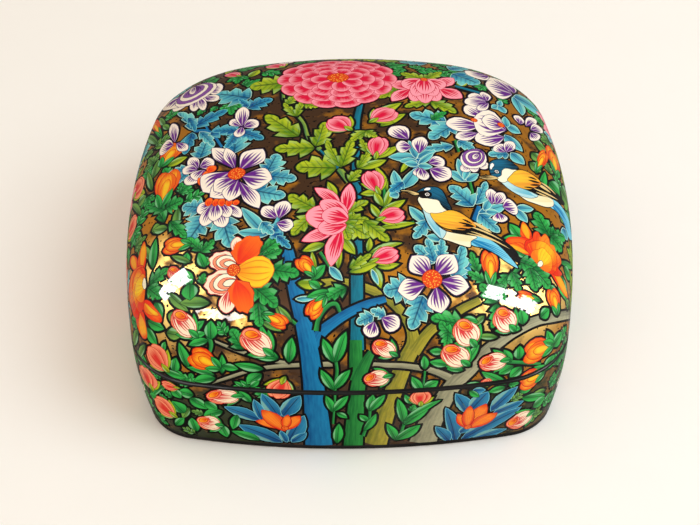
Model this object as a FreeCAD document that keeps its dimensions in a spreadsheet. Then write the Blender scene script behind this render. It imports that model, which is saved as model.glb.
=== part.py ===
import FreeCAD, Part
import math
import os

import Sketcher

# A lidded papier-mache box: a rounded square with bowed sides, a shallow bowl for a base and a
# domed lid that lifts off a collar. Millimetres, +Z up, origin at the centre of the underside.
# Every level of the box has the same kind of outline: four side arcs joined by four corner arcs.

SIZES = {
    "box_width": 128.0,
    "box_height": 61.0,
    "seam_height": 25.5,
    "foot_height": 2.1,
    "foot_bevel": 0.4,
    "rim_height": 0.9,
    "rim_bevel": 0.25,
    "skin_thickness": 0.6,
    "lid_wall": 2.4,
    "lining_thickness": 0.4,
    "floor_thickness": 3.0,
    "collar_thickness": 1.6,
    "collar_rise": 6.0,
    "collar_depth": 9.0,
    "collar_bevel": 0.4,
    "collar_clearance": 0.35,
    # Radii of the outline as shares of its half width: at the seam, at the crown and at the foot.
    "side_bow_share": 3.7,
    "crown_bow_share": 1.1,
    "seam_corner_share": 0.355,
    "crown_corner_share": 0.78,
    "foot_corner_share": 0.25,
    # Half width at the foot and at the crown's closing flat, as shares of the half width at the seam.
    "foot_width_share": 0.95,
    "crown_flat_share": 0.1,
    # The dome's outline in section is 1 = width^shoulder_power + height^dome_power.
    "dome_power": 3.2,
    "shoulder_power": 2.6,
    "foot_power": 2.0,
}

# Levels of the rings between the rim and the crown, as shares of the dome's height.
DOME_LEVEL_SHARES = (0.2, 0.38, 0.53, 0.66, 0.77, 0.855, 0.92, 0.963, 0.988)
# Levels of the rings down the bowl's wall, as shares of the way from its top to its bottom.
WALL_LEVEL_SHARES = (0.0, 0.34, 0.67, 1.0)

RIM = "dims.rim_height"
SKIN = "dims.skin_thickness"
LID_INNER = "dims.skin_thickness + dims.lid_wall"
LID_HOLLOW = LID_INNER + " + dims.lining_thickness"
COLLAR_OUTER = LID_HOLLOW + " + dims.collar_clearance"
COLLAR_INNER = COLLAR_OUTER + " + dims.collar_thickness"
BASE_HOLLOW = COLLAR_OUTER + " + dims.lining_thickness"

FLOOR = "dims.foot_height + dims.floor_thickness"
BASE_TOP = "dims.seam_height - dims.rim_height"
COLLAR_FOOT = "dims.seam_height - dims.collar_depth"
COLLAR_TOP = "dims.seam_height + dims.collar_rise"

doc = FreeCAD.newDocument("papier_mache_box")


def make_sheet():
    """Keep the driving dimensions in a spreadsheet, one aliased cell each."""
    sheet = doc.addObject("Spreadsheet::Sheet", "dims")
    for row, (name, value) in enumerate(SIZES.items(), 1):
        sheet.set(f"A{row}", name)
        sheet.set(f"B{row}", str(value))
        sheet.setAlias(f"B{row}", name)
    doc.recompute()


def make_body(name):
    body = doc.addObject("PartDesign::Body", name)
    body.Label = name
    return body


def dome_ring(share, inset, crown=False):
    """Sizes of the ring at a share of the dome's height, for a form set in from the outside."""
    half = f"(dims.box_width / 2 - ({inset}))"
    if crown:
        width = f"{half} * dims.crown_flat_share"
    else:
        width = f"{half} * (1 - ({share})^dims.dome_power)^(1 / dims.shoulder_power)"
    return {
        "width": width,
        "bow": f"(dims.side_bow_share + (dims.crown_bow_share - dims.side_bow_share) * ({share})^2)",
        "corner": f"(dims.seam_corner_share + (dims.crown_corner_share - dims.seam_corner_share)"
                  f" * ({share})^2)",
        "level": f"dims.seam_height + (dims.box_height - ({inset}) - dims.seam_height) * ({share})",
    }


def bowl_ring(level, inset):
    """Sizes of the ring at a level of the bowl, for a form set in from the outside."""
    share = f"((dims.seam_height - ({level})) / dims.seam_height)"
    return {
        "width": f"(dims.box_width / 2 - ({inset}))"
                 f" * (1 - (1 - dims.foot_width_share) * {share}^dims.foot_power)",
        "bow": "dims.side_bow_share",
        "corner": f"(dims.seam_corner_share + (dims.foot_corner_share - dims.seam_corner_share)"
                  f" * {share}^2)",
        "level": level,
    }


def seam_ring(level, inset):
    """Sizes of a ring that has the seam's own outline, at another level."""
    return {
        "width": f"(dims.box_width / 2 - ({inset}))",
        "bow": "dims.side_bow_share",
        "corner": "dims.seam_corner_share",
        "level": level,
    }


def dome_rings(inset):
    """Rings from the lid's rim up to the crown's small closing flat."""
    rim_share = f"{RIM} / (dims.box_height - ({inset}) - dims.seam_height)"
    rings = [dome_ring(rim_share, inset)]
    rings += [dome_ring(str(share), inset) for share in DOME_LEVEL_SHARES]
    return rings + [dome_ring("1", inset, crown=True)]


def bowl_rings(top, bottom, inset):
    """Rings down the bowl from one level to another."""
    levels = [f"({top}) + ({bottom} - ({top})) * {share}" for share in WALL_LEVEL_SHARES]
    return [bowl_ring(level, inset) for level in levels]


def draw_outline(body, name, ring):
    """Sketch the eight arcs of one ring, each side arc tangent to its corner arcs."""
    half = body.evalExpression(ring["width"])
    bow = body.evalExpression(ring["bow"])
    corner = body.evalExpression(ring["corner"])
    side_radius = half * bow
    corner_radius = half * corner
    reach = half * (bow - 1)
    # The corner's centre lies on the diagonal, where the two radii's difference meets it.
    root = math.sqrt(2 * (side_radius - corner_radius) ** 2 - reach ** 2)
    offset = (root - reach) / 2
    turn = math.atan2(offset, offset + reach)
    quarter = math.pi / 2
    up = FreeCAD.Vector(0, 0, 1)

    sketch = body.newObject("Sketcher::SketchObject", name)
    plane = next(item for item in body.Origin.OriginFeatures if item.Role == "XY_Plane")
    sketch.AttachmentSupport = [(plane, "")]
    sketch.MapMode = "FlatFace"
    sketch.setExpression("AttachmentOffset.Base.z", ring["level"])

    for side in range(4):
        angle = side * quarter
        centre = FreeCAD.Vector(-reach * math.cos(angle), -reach * math.sin(angle), 0)
        circle = Part.Circle(centre, up, side_radius)
        sketch.addGeometry(Part.ArcOfCircle(circle, angle - turn, angle + turn))
    for side in range(4):
        angle = side * quarter
        centre = FreeCAD.Vector(offset * (math.cos(angle) - math.sin(angle)),
                                offset * (math.sin(angle) + math.cos(angle)), 0)
        circle = Part.Circle(centre, up, corner_radius)
        sketch.addGeometry(Part.ArcOfCircle(circle, angle + turn, angle + quarter - turn))

    add = sketch.addConstraint
    rule = Sketcher.Constraint
    start, end, middle = 1, 2, 3
    horizontal_axis, vertical_axis = -1, -2
    for side in range(4):
        following = (side + 1) % 4
        add(rule("Tangent", side, end, 4 + side, start))
        add(rule("Tangent", 4 + side, end, following, start))
        axis = horizontal_axis if side % 2 == 0 else vertical_axis
        add(rule("PointOnObject", side, middle, axis))
        if side:
            add(rule("Equal", 0, side))
            add(rule("Equal", 4, 4 + side))

    measures = {
        "side_radius": (rule("Radius", 0, side_radius), f"{ring['width']} * {ring['bow']}"),
        "corner_radius": (rule("Radius", 4, corner_radius), f"{ring['width']} * {ring['corner']}"),
    }
    reach_text = f"{ring['width']} * ({ring['bow']} - 1)"
    centre_rules = {
        "reach_right": rule("DistanceX", 0, middle, horizontal_axis, start, reach),
        "reach_back": rule("DistanceY", 1, middle, horizontal_axis, start, reach),
        "reach_left": rule("DistanceX", horizontal_axis, start, 2, middle, reach),
        "reach_front": rule("DistanceY", horizontal_axis, start, 3, middle, reach),
    }
    measures.update({key: (item, reach_text) for key, item in centre_rules.items()})
    for key, (item, text) in measures.items():
        sketch.renameConstraint(add(item), key)
        sketch.setExpression(f"Constraints.{key}", text)
    return sketch


def loft(body, name, rings, cut=False, ruled=False):
    """Add or cut a form through its rings."""
    sketches = [draw_outline(body, f"{name}_ring_{place}", ring) for place, ring in enumerate(rings)]
    kind = "PartDesign::SubtractiveLoft" if cut else "PartDesign::AdditiveLoft"
    feature = body.newObject(kind, name)
    feature.Profile = sketches[0]
    feature.Sections = sketches[1:]
    feature.Ruled = ruled
    return feature


def cut_up(body, name, ring, length):
    """Cut a straight-walled well upwards from a ring."""
    pocket = body.newObject("PartDesign::Pocket", name)
    pocket.Profile = draw_outline(body, f"{name}_outline", ring)
    pocket.Reversed = True
    pocket.setExpression("Length", length)
    return pocket


def make_foot_board():
    """Black-lacquered board that closes the underside and shows as the edge along the foot."""
    body = make_body("foot_board")
    rings = [
        bowl_ring("dims.foot_height", "0"),
        bowl_ring("dims.foot_bevel", "0"),
        bowl_ring("0", "dims.foot_bevel"),
    ]
    loft(body, "board", rings, ruled=True)
    return body


def make_base_shell():
    """Moulded pulp bowl, thick enough that the collar seats in a straight step inside its rim."""
    body = make_body("base_shell")
    loft(body, "pulp", bowl_rings(BASE_TOP, "dims.foot_height", SKIN))
    hollow_top = "dims.seam_height - dims.collar_depth / 2"
    loft(body, "hollow", bowl_rings(hollow_top, FLOOR, COLLAR_OUTER), cut=True)
    cut_up(body, "collar_seat", seam_ring(COLLAR_FOOT, COLLAR_OUTER), "dims.collar_depth")
    return body


def make_base_painted_skin():
    """Gesso, paint and lacquer over the bowl's wall."""
    body = make_body("base_painted_skin")
    loft(body, "outside", bowl_rings(BASE_TOP, "dims.foot_height", "0"))
    loft(body, "inside", bowl_rings(BASE_TOP, "dims.foot_height", SKIN), cut=True)
    return body


def make_base_rim_edge():
    """Black-lacquered edge band on the bowl's rim, which the lid rests on."""
    body = make_body("base_rim_edge")
    rings = [
        bowl_ring(BASE_TOP, "0"),
        bowl_ring("dims.seam_height - dims.rim_bevel", "0"),
        bowl_ring("dims.seam_height", "dims.rim_bevel"),
    ]
    loft(body, "band", rings, ruled=True)
    cut_up(body, "collar_way", seam_ring(BASE_TOP, COLLAR_OUTER), RIM)
    return body


def make_locating_collar():
    """Pasteboard collar glued inside the bowl, which the lid drops over."""
    body = make_body("locating_collar")
    rings = [
        seam_ring(COLLAR_FOOT, COLLAR_OUTER),
        seam_ring(f"{COLLAR_TOP} - dims.collar_bevel", COLLAR_OUTER),
        seam_ring(COLLAR_TOP, f"{COLLAR_OUTER} + dims.collar_bevel"),
    ]
    loft(body, "strip", rings, ruled=True)
    height = "dims.collar_depth + dims.collar_rise"
    cut_up(body, "well", seam_ring(COLLAR_FOOT, COLLAR_INNER), height)
    return body


def make_base_lining():
    """Lacquered paper lining of the bowl's floor and of its wall up to the collar."""
    body = make_body("base_lining")
    loft(body, "outside", bowl_rings(COLLAR_FOOT, FLOOR, COLLAR_OUTER))
    lining_floor = f"{FLOOR} + dims.lining_thickness"
    loft(body, "inside", bowl_rings(COLLAR_FOOT, lining_floor, BASE_HOLLOW), cut=True)
    return body


def make_lid_shell():
    """Moulded pulp dome."""
    body = make_body("lid_shell")
    loft(body, "pulp", dome_rings(SKIN))
    loft(body, "hollow", dome_rings(LID_INNER), cut=True)
    return body


def make_lid_painted_skin():
    """Gesso, paint and lacquer over the dome."""
    body = make_body("lid_painted_skin")
    loft(body, "outside", dome_rings("0"))
    loft(body, "inside", dome_rings(SKIN), cut=True)
    return body


def make_lid_rim_edge():
    """Black-lacquered edge band along the lid's mouth."""
    body = make_body("lid_rim_edge")
    rings = [
        seam_ring("dims.seam_height", "dims.rim_bevel"),
        seam_ring("dims.seam_height + dims.rim_bevel", "0"),
        dome_rings("0")[0],
    ]
    loft(body, "band", rings, ruled=True)
    cut_up(body, "mouth", seam_ring("dims.seam_height", LID_HOLLOW), RIM)
    return body


def make_lid_lining():
    """Lacquered paper lining of the dome."""
    body = make_body("lid_lining")
    loft(body, "outside", dome_rings(LID_INNER))
    loft(body, "inside", dome_rings(LID_HOLLOW), cut=True)
    return body


def check_document():
    """Stop at any object that failed, and at any piece whose shape isn't sound."""
    for item in doc.Objects:
        if "Invalid" in item.State or "Error" in item.State:
            raise RuntimeError(f"{item.Name} failed: {item.State}")
    for body in pieces:
        shape = body.Shape
        if shape.isNull() or not shape.isValid() or len(shape.Solids) != 1:
            raise RuntimeError(f"{body.Label} is not one sound solid")


make_sheet()
pieces = [
    make_foot_board(),
    make_base_shell(),
    make_base_painted_skin(),
    make_base_rim_edge(),
    make_locating_collar(),
    make_base_lining(),
    make_lid_shell(),
    make_lid_painted_skin(),
    make_lid_rim_edge(),
    make_lid_lining(),
]
doc.recompute()
check_document()

os.makedirs("parts", exist_ok=True)
for body in pieces:
    body.Shape.exportStep(f"parts/{body.Label}.step")
    box = body.Shape.BoundBox
    print(f"{body.Label}: volume {body.Shape.Volume:.1f}, x {box.XMin:.2f} to {box.XMax:.2f},"
          f" z {box.ZMin:.2f} to {box.ZMax:.2f}, faces {len(body.Shape.Faces)}")
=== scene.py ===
"""A rounded square papier-mache box, painted with flowers, trees and birds and lacquered."""

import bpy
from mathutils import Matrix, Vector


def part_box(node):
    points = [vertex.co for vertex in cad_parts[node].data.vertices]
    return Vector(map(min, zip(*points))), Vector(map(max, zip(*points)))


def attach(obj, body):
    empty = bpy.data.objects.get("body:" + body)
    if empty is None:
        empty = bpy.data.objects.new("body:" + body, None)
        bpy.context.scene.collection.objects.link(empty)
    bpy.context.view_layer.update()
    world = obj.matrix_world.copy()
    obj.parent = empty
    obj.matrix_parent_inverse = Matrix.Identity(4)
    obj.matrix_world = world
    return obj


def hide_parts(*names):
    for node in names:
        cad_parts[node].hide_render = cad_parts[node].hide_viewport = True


bl_info = {
    "name": "Painted papier-mache box",
    "version": (1, 0, 0),
    "blender": (4, 5, 0),
    "location": "3D View > Sidebar > Painted box",
    "description": "Paints, lacquers and stages the box around its frame",
    "category": "Object",
}

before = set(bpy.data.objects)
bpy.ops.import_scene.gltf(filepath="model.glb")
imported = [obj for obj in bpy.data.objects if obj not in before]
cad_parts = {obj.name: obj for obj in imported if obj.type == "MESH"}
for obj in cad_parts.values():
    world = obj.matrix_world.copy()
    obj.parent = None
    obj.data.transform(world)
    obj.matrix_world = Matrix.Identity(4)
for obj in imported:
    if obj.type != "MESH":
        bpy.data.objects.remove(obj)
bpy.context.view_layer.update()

import math

import bpy
import numpy as np
from mathutils import Matrix, Vector
from mathutils.geometry import delaunay_2d_cdt

MM = 0.001


def node_box(node):
    """Low and high corners of a frame node in millimetres."""
    low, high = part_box(node)
    return np.array(low) / MM, np.array(high) / MM


# Sizes from the frame, in millimetres
HALF_WIDTH = node_box("lid_rim_edge")[1][0]
CROWN = node_box("lid_painted_skin")[1][2]
LID_EDGE = node_box("lid_painted_skin")[0][2]
SEAM = node_box("lid_rim_edge")[0][2]
BASE_EDGE = node_box("base_painted_skin")[1][2]
FOOT_EDGE = node_box("base_painted_skin")[0][2]
SKIN = CROWN - node_box("lid_shell")[1][2]

# The box's outline: radii of its side and corner arcs as shares of its half width
SIDE_BOW_SHARE, CROWN_BOW_SHARE = 3.7, 1.1
SEAM_CORNER_SHARE, CROWN_CORNER_SHARE, FOOT_CORNER_SHARE = 0.355, 0.78, 0.25
FOOT_WIDTH_SHARE = 0.95
DOME_POWER, SHOULDER_POWER, FOOT_POWER = 3.2, 2.6, 2.0
DOME_POINTS, BOWL_POINTS = 4001, 1001

# The photograph's camera, in millimetres, degrees and pixels
PICTURE = (700, 525)
CAMERA_DISTANCE = 512.0
CAMERA_ELEVATION = 41.27
CAMERA_YAW = 0.46
CAMERA_ROLL = -0.88
CAMERA_FOCAL = 1759.6
CAMERA_AIM = 32.0
CAMERA_DROP = 12.4
SENSOR = 36.0
CLIP_NEAR, CLIP_FAR = 0.01, 20.0
# How a ray from the camera finds the box: so many samples along it, then so many halvings
RAY_SAMPLES, RAY_HALVINGS = 400, 30


def outline(angle, bow, corner):
    """Radius of the unit outline at an angle: side arcs of radius bow joined by corner arcs."""
    fold = np.abs((angle + math.pi / 4) % (math.pi / 2) - math.pi / 4)
    reach = bow - 1
    offset = (np.sqrt(2 * (bow - corner) ** 2 - reach ** 2) - reach) / 2
    turn = np.arctan2(offset, offset + reach)
    meeting = np.arctan2(bow * np.sin(turn), bow * np.cos(turn) - reach)
    side = np.sqrt(np.maximum(bow ** 2 - (reach * np.sin(fold)) ** 2, 0)) - reach * np.cos(fold)
    middle = offset * (np.cos(fold) + np.sin(fold))
    corner_side = middle + np.sqrt(np.maximum(middle ** 2 - 2 * offset ** 2 + corner ** 2, 0))
    return np.where(fold <= meeting, side, corner_side)


def arc_shares(level):
    """Bow and corner shares of the outline at a level, which change with the height squared."""
    up = np.clip((level - SEAM) / (CROWN - SEAM), 0, 1) ** 2
    down = np.clip((SEAM - level) / SEAM, 0, 1) ** 2
    bow = SIDE_BOW_SHARE + (CROWN_BOW_SHARE - SIDE_BOW_SHARE) * up
    corner = (SEAM_CORNER_SHARE + (CROWN_CORNER_SHARE - SEAM_CORNER_SHARE) * up
              + (FOOT_CORNER_SHARE - SEAM_CORNER_SHARE) * down)
    return bow, corner


def make_section():
    """Half section from the crown to the underside: length along it, width share, level, turn."""
    turn = (1 - np.cos(np.linspace(0, math.pi, DOME_POINTS))) * math.pi / 4
    drop = np.linspace(0, 1, BOWL_POINTS)[1:]
    width = np.r_[np.sin(turn) ** (2 / SHOULDER_POWER),
                  1 - (1 - FOOT_WIDTH_SHARE) * drop ** FOOT_POWER]
    level = np.r_[SEAM + (CROWN - SEAM) * np.cos(turn) ** (2 / DOME_POWER), SEAM * (1 - drop)]
    steps = np.hypot(np.diff(width) * HALF_WIDTH, np.diff(level))
    return np.r_[0, np.cumsum(steps)], width, level, turn


SECTION_LENGTH, SECTION_WIDTH, SECTION_LEVEL, SECTION_TURN = make_section()


def radius_at(level):
    """Chart radius of a level: its length from the crown along the section."""
    return np.interp(-np.asarray(level), -SECTION_LEVEL, SECTION_LENGTH)


LID_RADIUS = float(radius_at(LID_EDGE))
SEAM_RADIUS = float(radius_at(SEAM))
BASE_RADIUS = float(radius_at(BASE_EDGE))
FOOT_RADIUS = float(radius_at(FOOT_EDGE))


def on_box(chart, inset=0.0):
    """Chart points, polar about the crown with arc length as radius, to points on the box."""
    chart = np.asarray(chart, float)
    radius = np.hypot(chart[..., 0], chart[..., 1])
    angle = np.arctan2(chart[..., 1], chart[..., 0])
    level = np.interp(radius, SECTION_LENGTH, SECTION_LEVEL)
    width = np.interp(radius, SECTION_LENGTH, SECTION_WIDTH)
    reach = (HALF_WIDTH - inset) * width * outline(angle, *arc_shares(level))
    lowered = np.where(level > SEAM, level - inset * (level - SEAM) / (CROWN - SEAM), level)
    return np.stack([reach * np.cos(angle), reach * np.sin(angle), lowered], -1)


def slopes(chart, step=0.2):
    """How the point on the box moves with each chart coordinate, by central differences."""
    across = np.array([step, 0.0])
    along = np.array([0.0, step])
    return ((on_box(chart + across) - on_box(chart - across)) / (2 * step),
            (on_box(chart + along) - on_box(chart - along)) / (2 * step))


def outward(chart):
    """Unit normals of the box at chart points."""
    normal = np.cross(*slopes(chart))
    return normal / np.linalg.norm(normal, axis=-1, keepdims=True)


# The camera, and where its pixels fall on the box
def camera_axes():
    """Unit vectors to the camera's right, up and back, turned by its roll, and its place in mm."""
    angles = (CAMERA_ELEVATION, CAMERA_YAW, CAMERA_ROLL)
    rise, yaw, roll = (math.radians(angle) for angle in angles)
    back = np.array([math.sin(yaw) * math.cos(rise), -math.cos(yaw) * math.cos(rise), math.sin(rise)])
    right = np.array([math.cos(yaw), math.sin(yaw), 0.0])
    up = np.cross(back, right)
    centre = back * CAMERA_DISTANCE - up * CAMERA_DROP + [0, 0, CAMERA_AIM]
    turned_right = math.cos(roll) * right + math.sin(roll) * up
    turned_up = math.cos(roll) * up - math.sin(roll) * right
    return turned_right, turned_up, back, centre


def section_place(points):
    """Turn about the box's axis, level, and width as a share of the outline at that level."""
    angle = np.arctan2(points[..., 1], points[..., 0])
    level = points[..., 2]
    width = np.hypot(points[..., 0], points[..., 1]) / HALF_WIDTH / outline(angle, *arc_shares(level))
    return angle, level, width


def outside(points):
    """Positive outside the box and negative inside: the section's formula at each point."""
    _, level, width = section_place(points)
    up = np.clip((level - SEAM) / (CROWN - SEAM), 0, None)
    drop = np.clip((SEAM - level) / SEAM, 0, 1)
    dome = width ** SHOULDER_POWER + up ** DOME_POWER - 1
    bowl = width - 1 + (1 - FOOT_WIDTH_SHARE) * drop ** FOOT_POWER
    return np.where(level >= SEAM, dome, bowl)


def to_chart(points):
    """Points on the box to chart points, by their turn on the dome and their level on the bowl."""
    angle, level, width = section_place(points)
    up = np.clip((level - SEAM) / (CROWN - SEAM), 0, 1)
    turn = np.arctan2(width ** (SHOULDER_POWER / 2), up ** (DOME_POWER / 2))
    dome = np.interp(turn, SECTION_TURN, SECTION_LENGTH[:len(SECTION_TURN)])
    radius = np.where(level >= SEAM, dome, radius_at(level))
    return np.stack([radius * np.cos(angle), radius * np.sin(angle)], -1)


def seen(pixels):
    """Chart points that the photograph's camera sees at pixels, or nearest to them at the edge."""
    pixels = np.asarray(pixels, float)
    flat = pixels.reshape(-1, 2)
    right, up, back, centre = camera_axes()
    rays = (right * (flat[:, :1] - PICTURE[0] / 2) - up * (flat[:, 1:] - PICTURE[1] / 2)
            - back * CAMERA_FOCAL)
    rays /= np.linalg.norm(rays, axis=1, keepdims=True)
    reach = np.linspace(CAMERA_DISTANCE - 2 * HALF_WIDTH, CAMERA_DISTANCE + 2 * HALF_WIDTH, RAY_SAMPLES)
    field = outside(centre + rays[:, None] * reach[None, :, None])
    inside = field < 0
    first = np.where(inside.any(1), inside.argmax(1), field.argmin(1))
    near = reach[np.maximum(first - 1, 0)]
    far = reach[first]
    for _ in range(RAY_HALVINGS):
        middle = (near + far) / 2
        beyond = outside(centre + rays * middle[:, None]) < 0
        near, far = np.where(beyond, near, middle), np.where(beyond, middle, far)
    return to_chart(centre + rays * far[:, None]).reshape(pixels.shape)


# The key light, which the lacquer doesn't mirror: size and distance in metres, turns in degrees
KEY_SIZE, KEY_DISTANCE, KEY_ANGLES = (0.62, 0.62), 0.95, (-24, 50, 0)
KEY_COLOUR = (0.72, 0.86, 1.0)
# Windows that the lacquer mirrors: size in metres, radiance, turn, rise and spin in degrees, and
# the place on the box, in metres, that mirrors them to the camera
WINDOW_DISTANCE = 0.7
WINDOWS = [
    ("left window", (0.12, 0.32), 36.0, (172.0, 38.0, 24.0), (-0.047, -0.046, 0.048)),
    ("low left window", (0.36, 0.17), 22.0, (-131.0, 41.0, 0.0), (-0.036, -0.055, 0.046)),
    ("right window", (0.17, 0.5), 34.0, (-14.0, 40.0, 7.0), (0.044, -0.051, 0.0465)),
]
# The light from all round: a level part, and how it changes to the right, to the back and upward
WORLD_LIGHT, WORLD_SLOPE = 0.35, (-0.08, -0.36, 0.63)
WORLD_COLOUR = (1.0, 0.9, 0.8)
# The share of its brightness that the floor's darkest grain has
FLOOR_GRAIN = 0.994
# The floor's brightness and the world's as the lacquer mirrors them, and the world as it is seen
FLOOR_MIRRORED, WORLD_MIRRORED = 0.28, 0.12
WORLD_MIRRORED_COLOUR, WORLD_SEEN = (1.0, 0.97, 0.93), (0.995, 0.95, 0.88)


def linear(*colour):
    """A colour written as sRGB, from 0 to 255, as linear light."""
    share = np.array(colour, float) / 255
    return np.where(share <= 0.04045, share / 12.92, ((share + 0.055) / 1.055) ** 2.4)


INK_TONE = (15, 12, 11)
# Each paint has a light tone, a dark tone and the tone of the lines within its motif, or else ink
PAINT_TONES = {
    "lime": ((192, 204, 36), (84, 130, 14), (58, 92, 14)),
    "emerald": ((56, 190, 80), (0, 94, 40), (8, 70, 30)),
    "green": ((52, 166, 74), (4, 82, 42), (8, 66, 34)),
    "olive": ((122, 176, 72), (40, 96, 44), (36, 66, 30)),
    "cyan": ((112, 210, 206), (0, 100, 148), (190, 230, 208)),
    "blue": ((56, 164, 192), (2, 74, 134), (120, 204, 206)),
    "indigo": ((44, 136, 176), (0, 60, 124), (110, 190, 206)),
    "pink": ((255, 160, 172), (226, 12, 60), (214, 6, 58)),
    "coral": ((255, 160, 118), (226, 48, 40), (204, 22, 20)),
    "blush": ((255, 236, 204), (224, 62, 62), (212, 40, 44)),
    "orange": ((255, 178, 30), (234, 52, 12), (204, 36, 8)),
    "yellow": ((255, 206, 36), (246, 116, 16), (220, 64, 10)),
    "red": ((255, 110, 22), (242, 48, 14), (176, 24, 10)),
    "purple": ((255, 240, 220), (104, 34, 134), (70, 24, 100)),
    "blaze": ((255, 138, 36), (230, 44, 16), (170, 24, 10)),
    "crimson": ((228, 20, 64), (228, 20, 64), (120, 8, 30)),
    "violet": ((136, 78, 158), (80, 20, 106), (56, 14, 80)),
    "pollen": ((255, 190, 60), (230, 64, 14), (150, 30, 10)),
    "cream": ((255, 246, 214), (250, 228, 170)),
    "navy": ((24, 104, 136), (6, 14, 26)),
    "sky": ((206, 236, 232), (112, 190, 208)),
    "wing": ((250, 196, 52), (232, 134, 44)),
    "feather": ((232, 200, 130), (40, 26, 18)),
    "tail": ((120, 206, 226), (20, 130, 180)),
    "white": ((255, 250, 240), (226, 226, 216)),
    "black": (INK_TONE, INK_TONE),
    "blue bark": ((24, 128, 178), (4, 80, 136)),
    "teal bark": ((20, 128, 150), (8, 84, 104)),
    "green bark": ((44, 146, 62), (12, 90, 42)),
    "olive bark": ((178, 164, 50), (92, 100, 34)),
    "grey bark": ((176, 172, 138), (112, 112, 88)),
    "lime bark": ((150, 176, 60), (40, 112, 70)),
}
INK = linear(*INK_TONE)
PAINTS = {
    name: [linear(*tone) for tone in (*tones, INK_TONE)[:3]] for name, tones in PAINT_TONES.items()
}
# What a shape's strokes look like; the shader reads the number
PLAIN, LEAF, PETAL, STREAK, BARK, FEATHER, STIPPLE, RIBBED, BLUSHING, EDGED = range(1, 11)


# Unit outlines give shares along from base to tip, and shares of the half width to each side.
# Where a leaf and a petal are widest, the power that rounds them, and where a leaf's first lobe starts
LEAF_WIDEST, LEAF_BLUNT, LEAF_STALK = 0.36, 0.62, 0.04
PETAL_WIDEST, PETAL_BLUNT = 0.6, 0.62


def envelope(share, widest, blunt):
    """Half width along a blade: a sine, warped so that it peaks at a share, raised to a power."""
    return np.sin(math.pi * share ** (math.log(0.5) / math.log(widest))) ** blunt


def mirrored(run, side):
    """A closed outline from its one side, and the same side the other way round."""
    return np.r_[run, run[-2:0:-1]], np.r_[side, -side[-2:0:-1]]


def blade(widest, blunt, count=9):
    """A smooth blade, whose half width follows the envelope."""
    share = (1 - np.cos(np.linspace(0, math.pi, count))) / 2
    return mirrored(share, np.maximum(envelope(share, widest, blunt), 0))


def lobed(lobes):
    """A blade whose edge swells out to a forward point in each lobe, then cuts back to a notch."""
    step = np.array([0.0, 0.3, 0.62, 0.9, 0.97])
    factor = np.array([0.5, 0.84, 1.0, 1.17, 0.64])
    share = LEAF_STALK + (1 - LEAF_STALK) * ((np.arange(lobes)[:, None] + step) / lobes).ravel()
    side = envelope(share, LEAF_WIDEST, LEAF_BLUNT) * np.tile(factor, lobes)
    return mirrored(np.r_[0, share, 1], np.r_[0, side, 0])


def cusped(count=12):
    """A broad petal that swells from its foot and ends in a point."""
    share = np.linspace(0, 1, count)
    side = np.sin(math.pi * share ** 1.5) ** 0.7 + 0.1 * share * (1 - share)
    tip = np.clip((1 - share) / 0.4, 0, 1)
    return mirrored(share, side * (0.62 + 0.38 * tip))


def ruffled(waves, depth=0.06, count=21):
    """A fan whose rounded far edge goes in and out in waves."""
    turn = np.linspace(-0.62, 0.62, count) * math.pi
    reach = 1 + depth * np.cos(turn * waves)
    run = 0.42 + 0.58 * np.cos(turn) * reach
    side = np.sin(turn) * reach
    return np.r_[0, run], np.r_[0, side]


# How many lobes a shape has, which the shader finds added to the motif's seed
LOBES = {"leaf": 3}
SHAPES = {
    "leaf": lobed(LOBES["leaf"]),
    "blade": blade(0.46, 0.85),
    "petal": blade(PETAL_WIDEST, PETAL_BLUNT),
    "round": blade(0.52, 0.5),
    "pointed": blade(0.5, 0.78),
    "cusp": cusped(),
    "fan": ruffled(9),
    "disc": blade(0.5, 0.5),
}


# The least length of a motif in mm, and the least size of two edge normals' sum, which keeps sharp
# corners from growing far
SHORTEST, SHARPEST = 0.05, 1.1


class Place:
    """Where motifs lie: base points, unit vectors along and across in chart, and lengths in mm."""

    def __init__(self, base, tip):
        base, tip = np.atleast_2d(base), np.atleast_2d(tip)
        self.base = base
        across, along = slopes((base + tip) / 2)
        xx, xy, yy = (across * across).sum(1), (across * along).sum(1), (along * along).sum(1)
        run = tip - base
        length = np.sqrt(xx * run[:, 0] ** 2 + 2 * xy * run[:, 0] * run[:, 1] + yy * run[:, 1] ** 2)
        self.length = np.maximum(length, SHORTEST)
        self.along = run / self.length[:, None]
        lowered = np.stack([xx * self.along[:, 0] + xy * self.along[:, 1],
                            xy * self.along[:, 0] + yy * self.along[:, 1]], 1)
        root = np.sqrt(xx * yy - xy ** 2)[:, None]
        self.across = np.stack([-lowered[:, 1], lowered[:, 0]], 1) / root

    def at(self, run, side):
        """Chart points of local points in mm, one row of points per motif."""
        return (self.base[:, None] + self.along[:, None] * run[..., None]
                + self.across[:, None] * side[..., None])

    def local(self, chart):
        """Local points in mm, along and across, of chart points: one row of points per motif."""
        inverse = np.linalg.inv(np.stack([self.along, self.across], 2))
        return np.einsum("nij,nkj->nki", inverse, chart - self.base[:, None])

    def reader(self, length, width):
        """Per motif, the matrix that turns a chart point into its share along and across."""
        inverse = np.linalg.inv(np.stack([self.along, self.across], 2))
        inverse[:, 0] /= length[:, None]
        inverse[:, 1] /= width[:, None]
        shift = -(inverse @ self.base[:, :, None])
        return np.concatenate([inverse, shift], 2)


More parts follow.
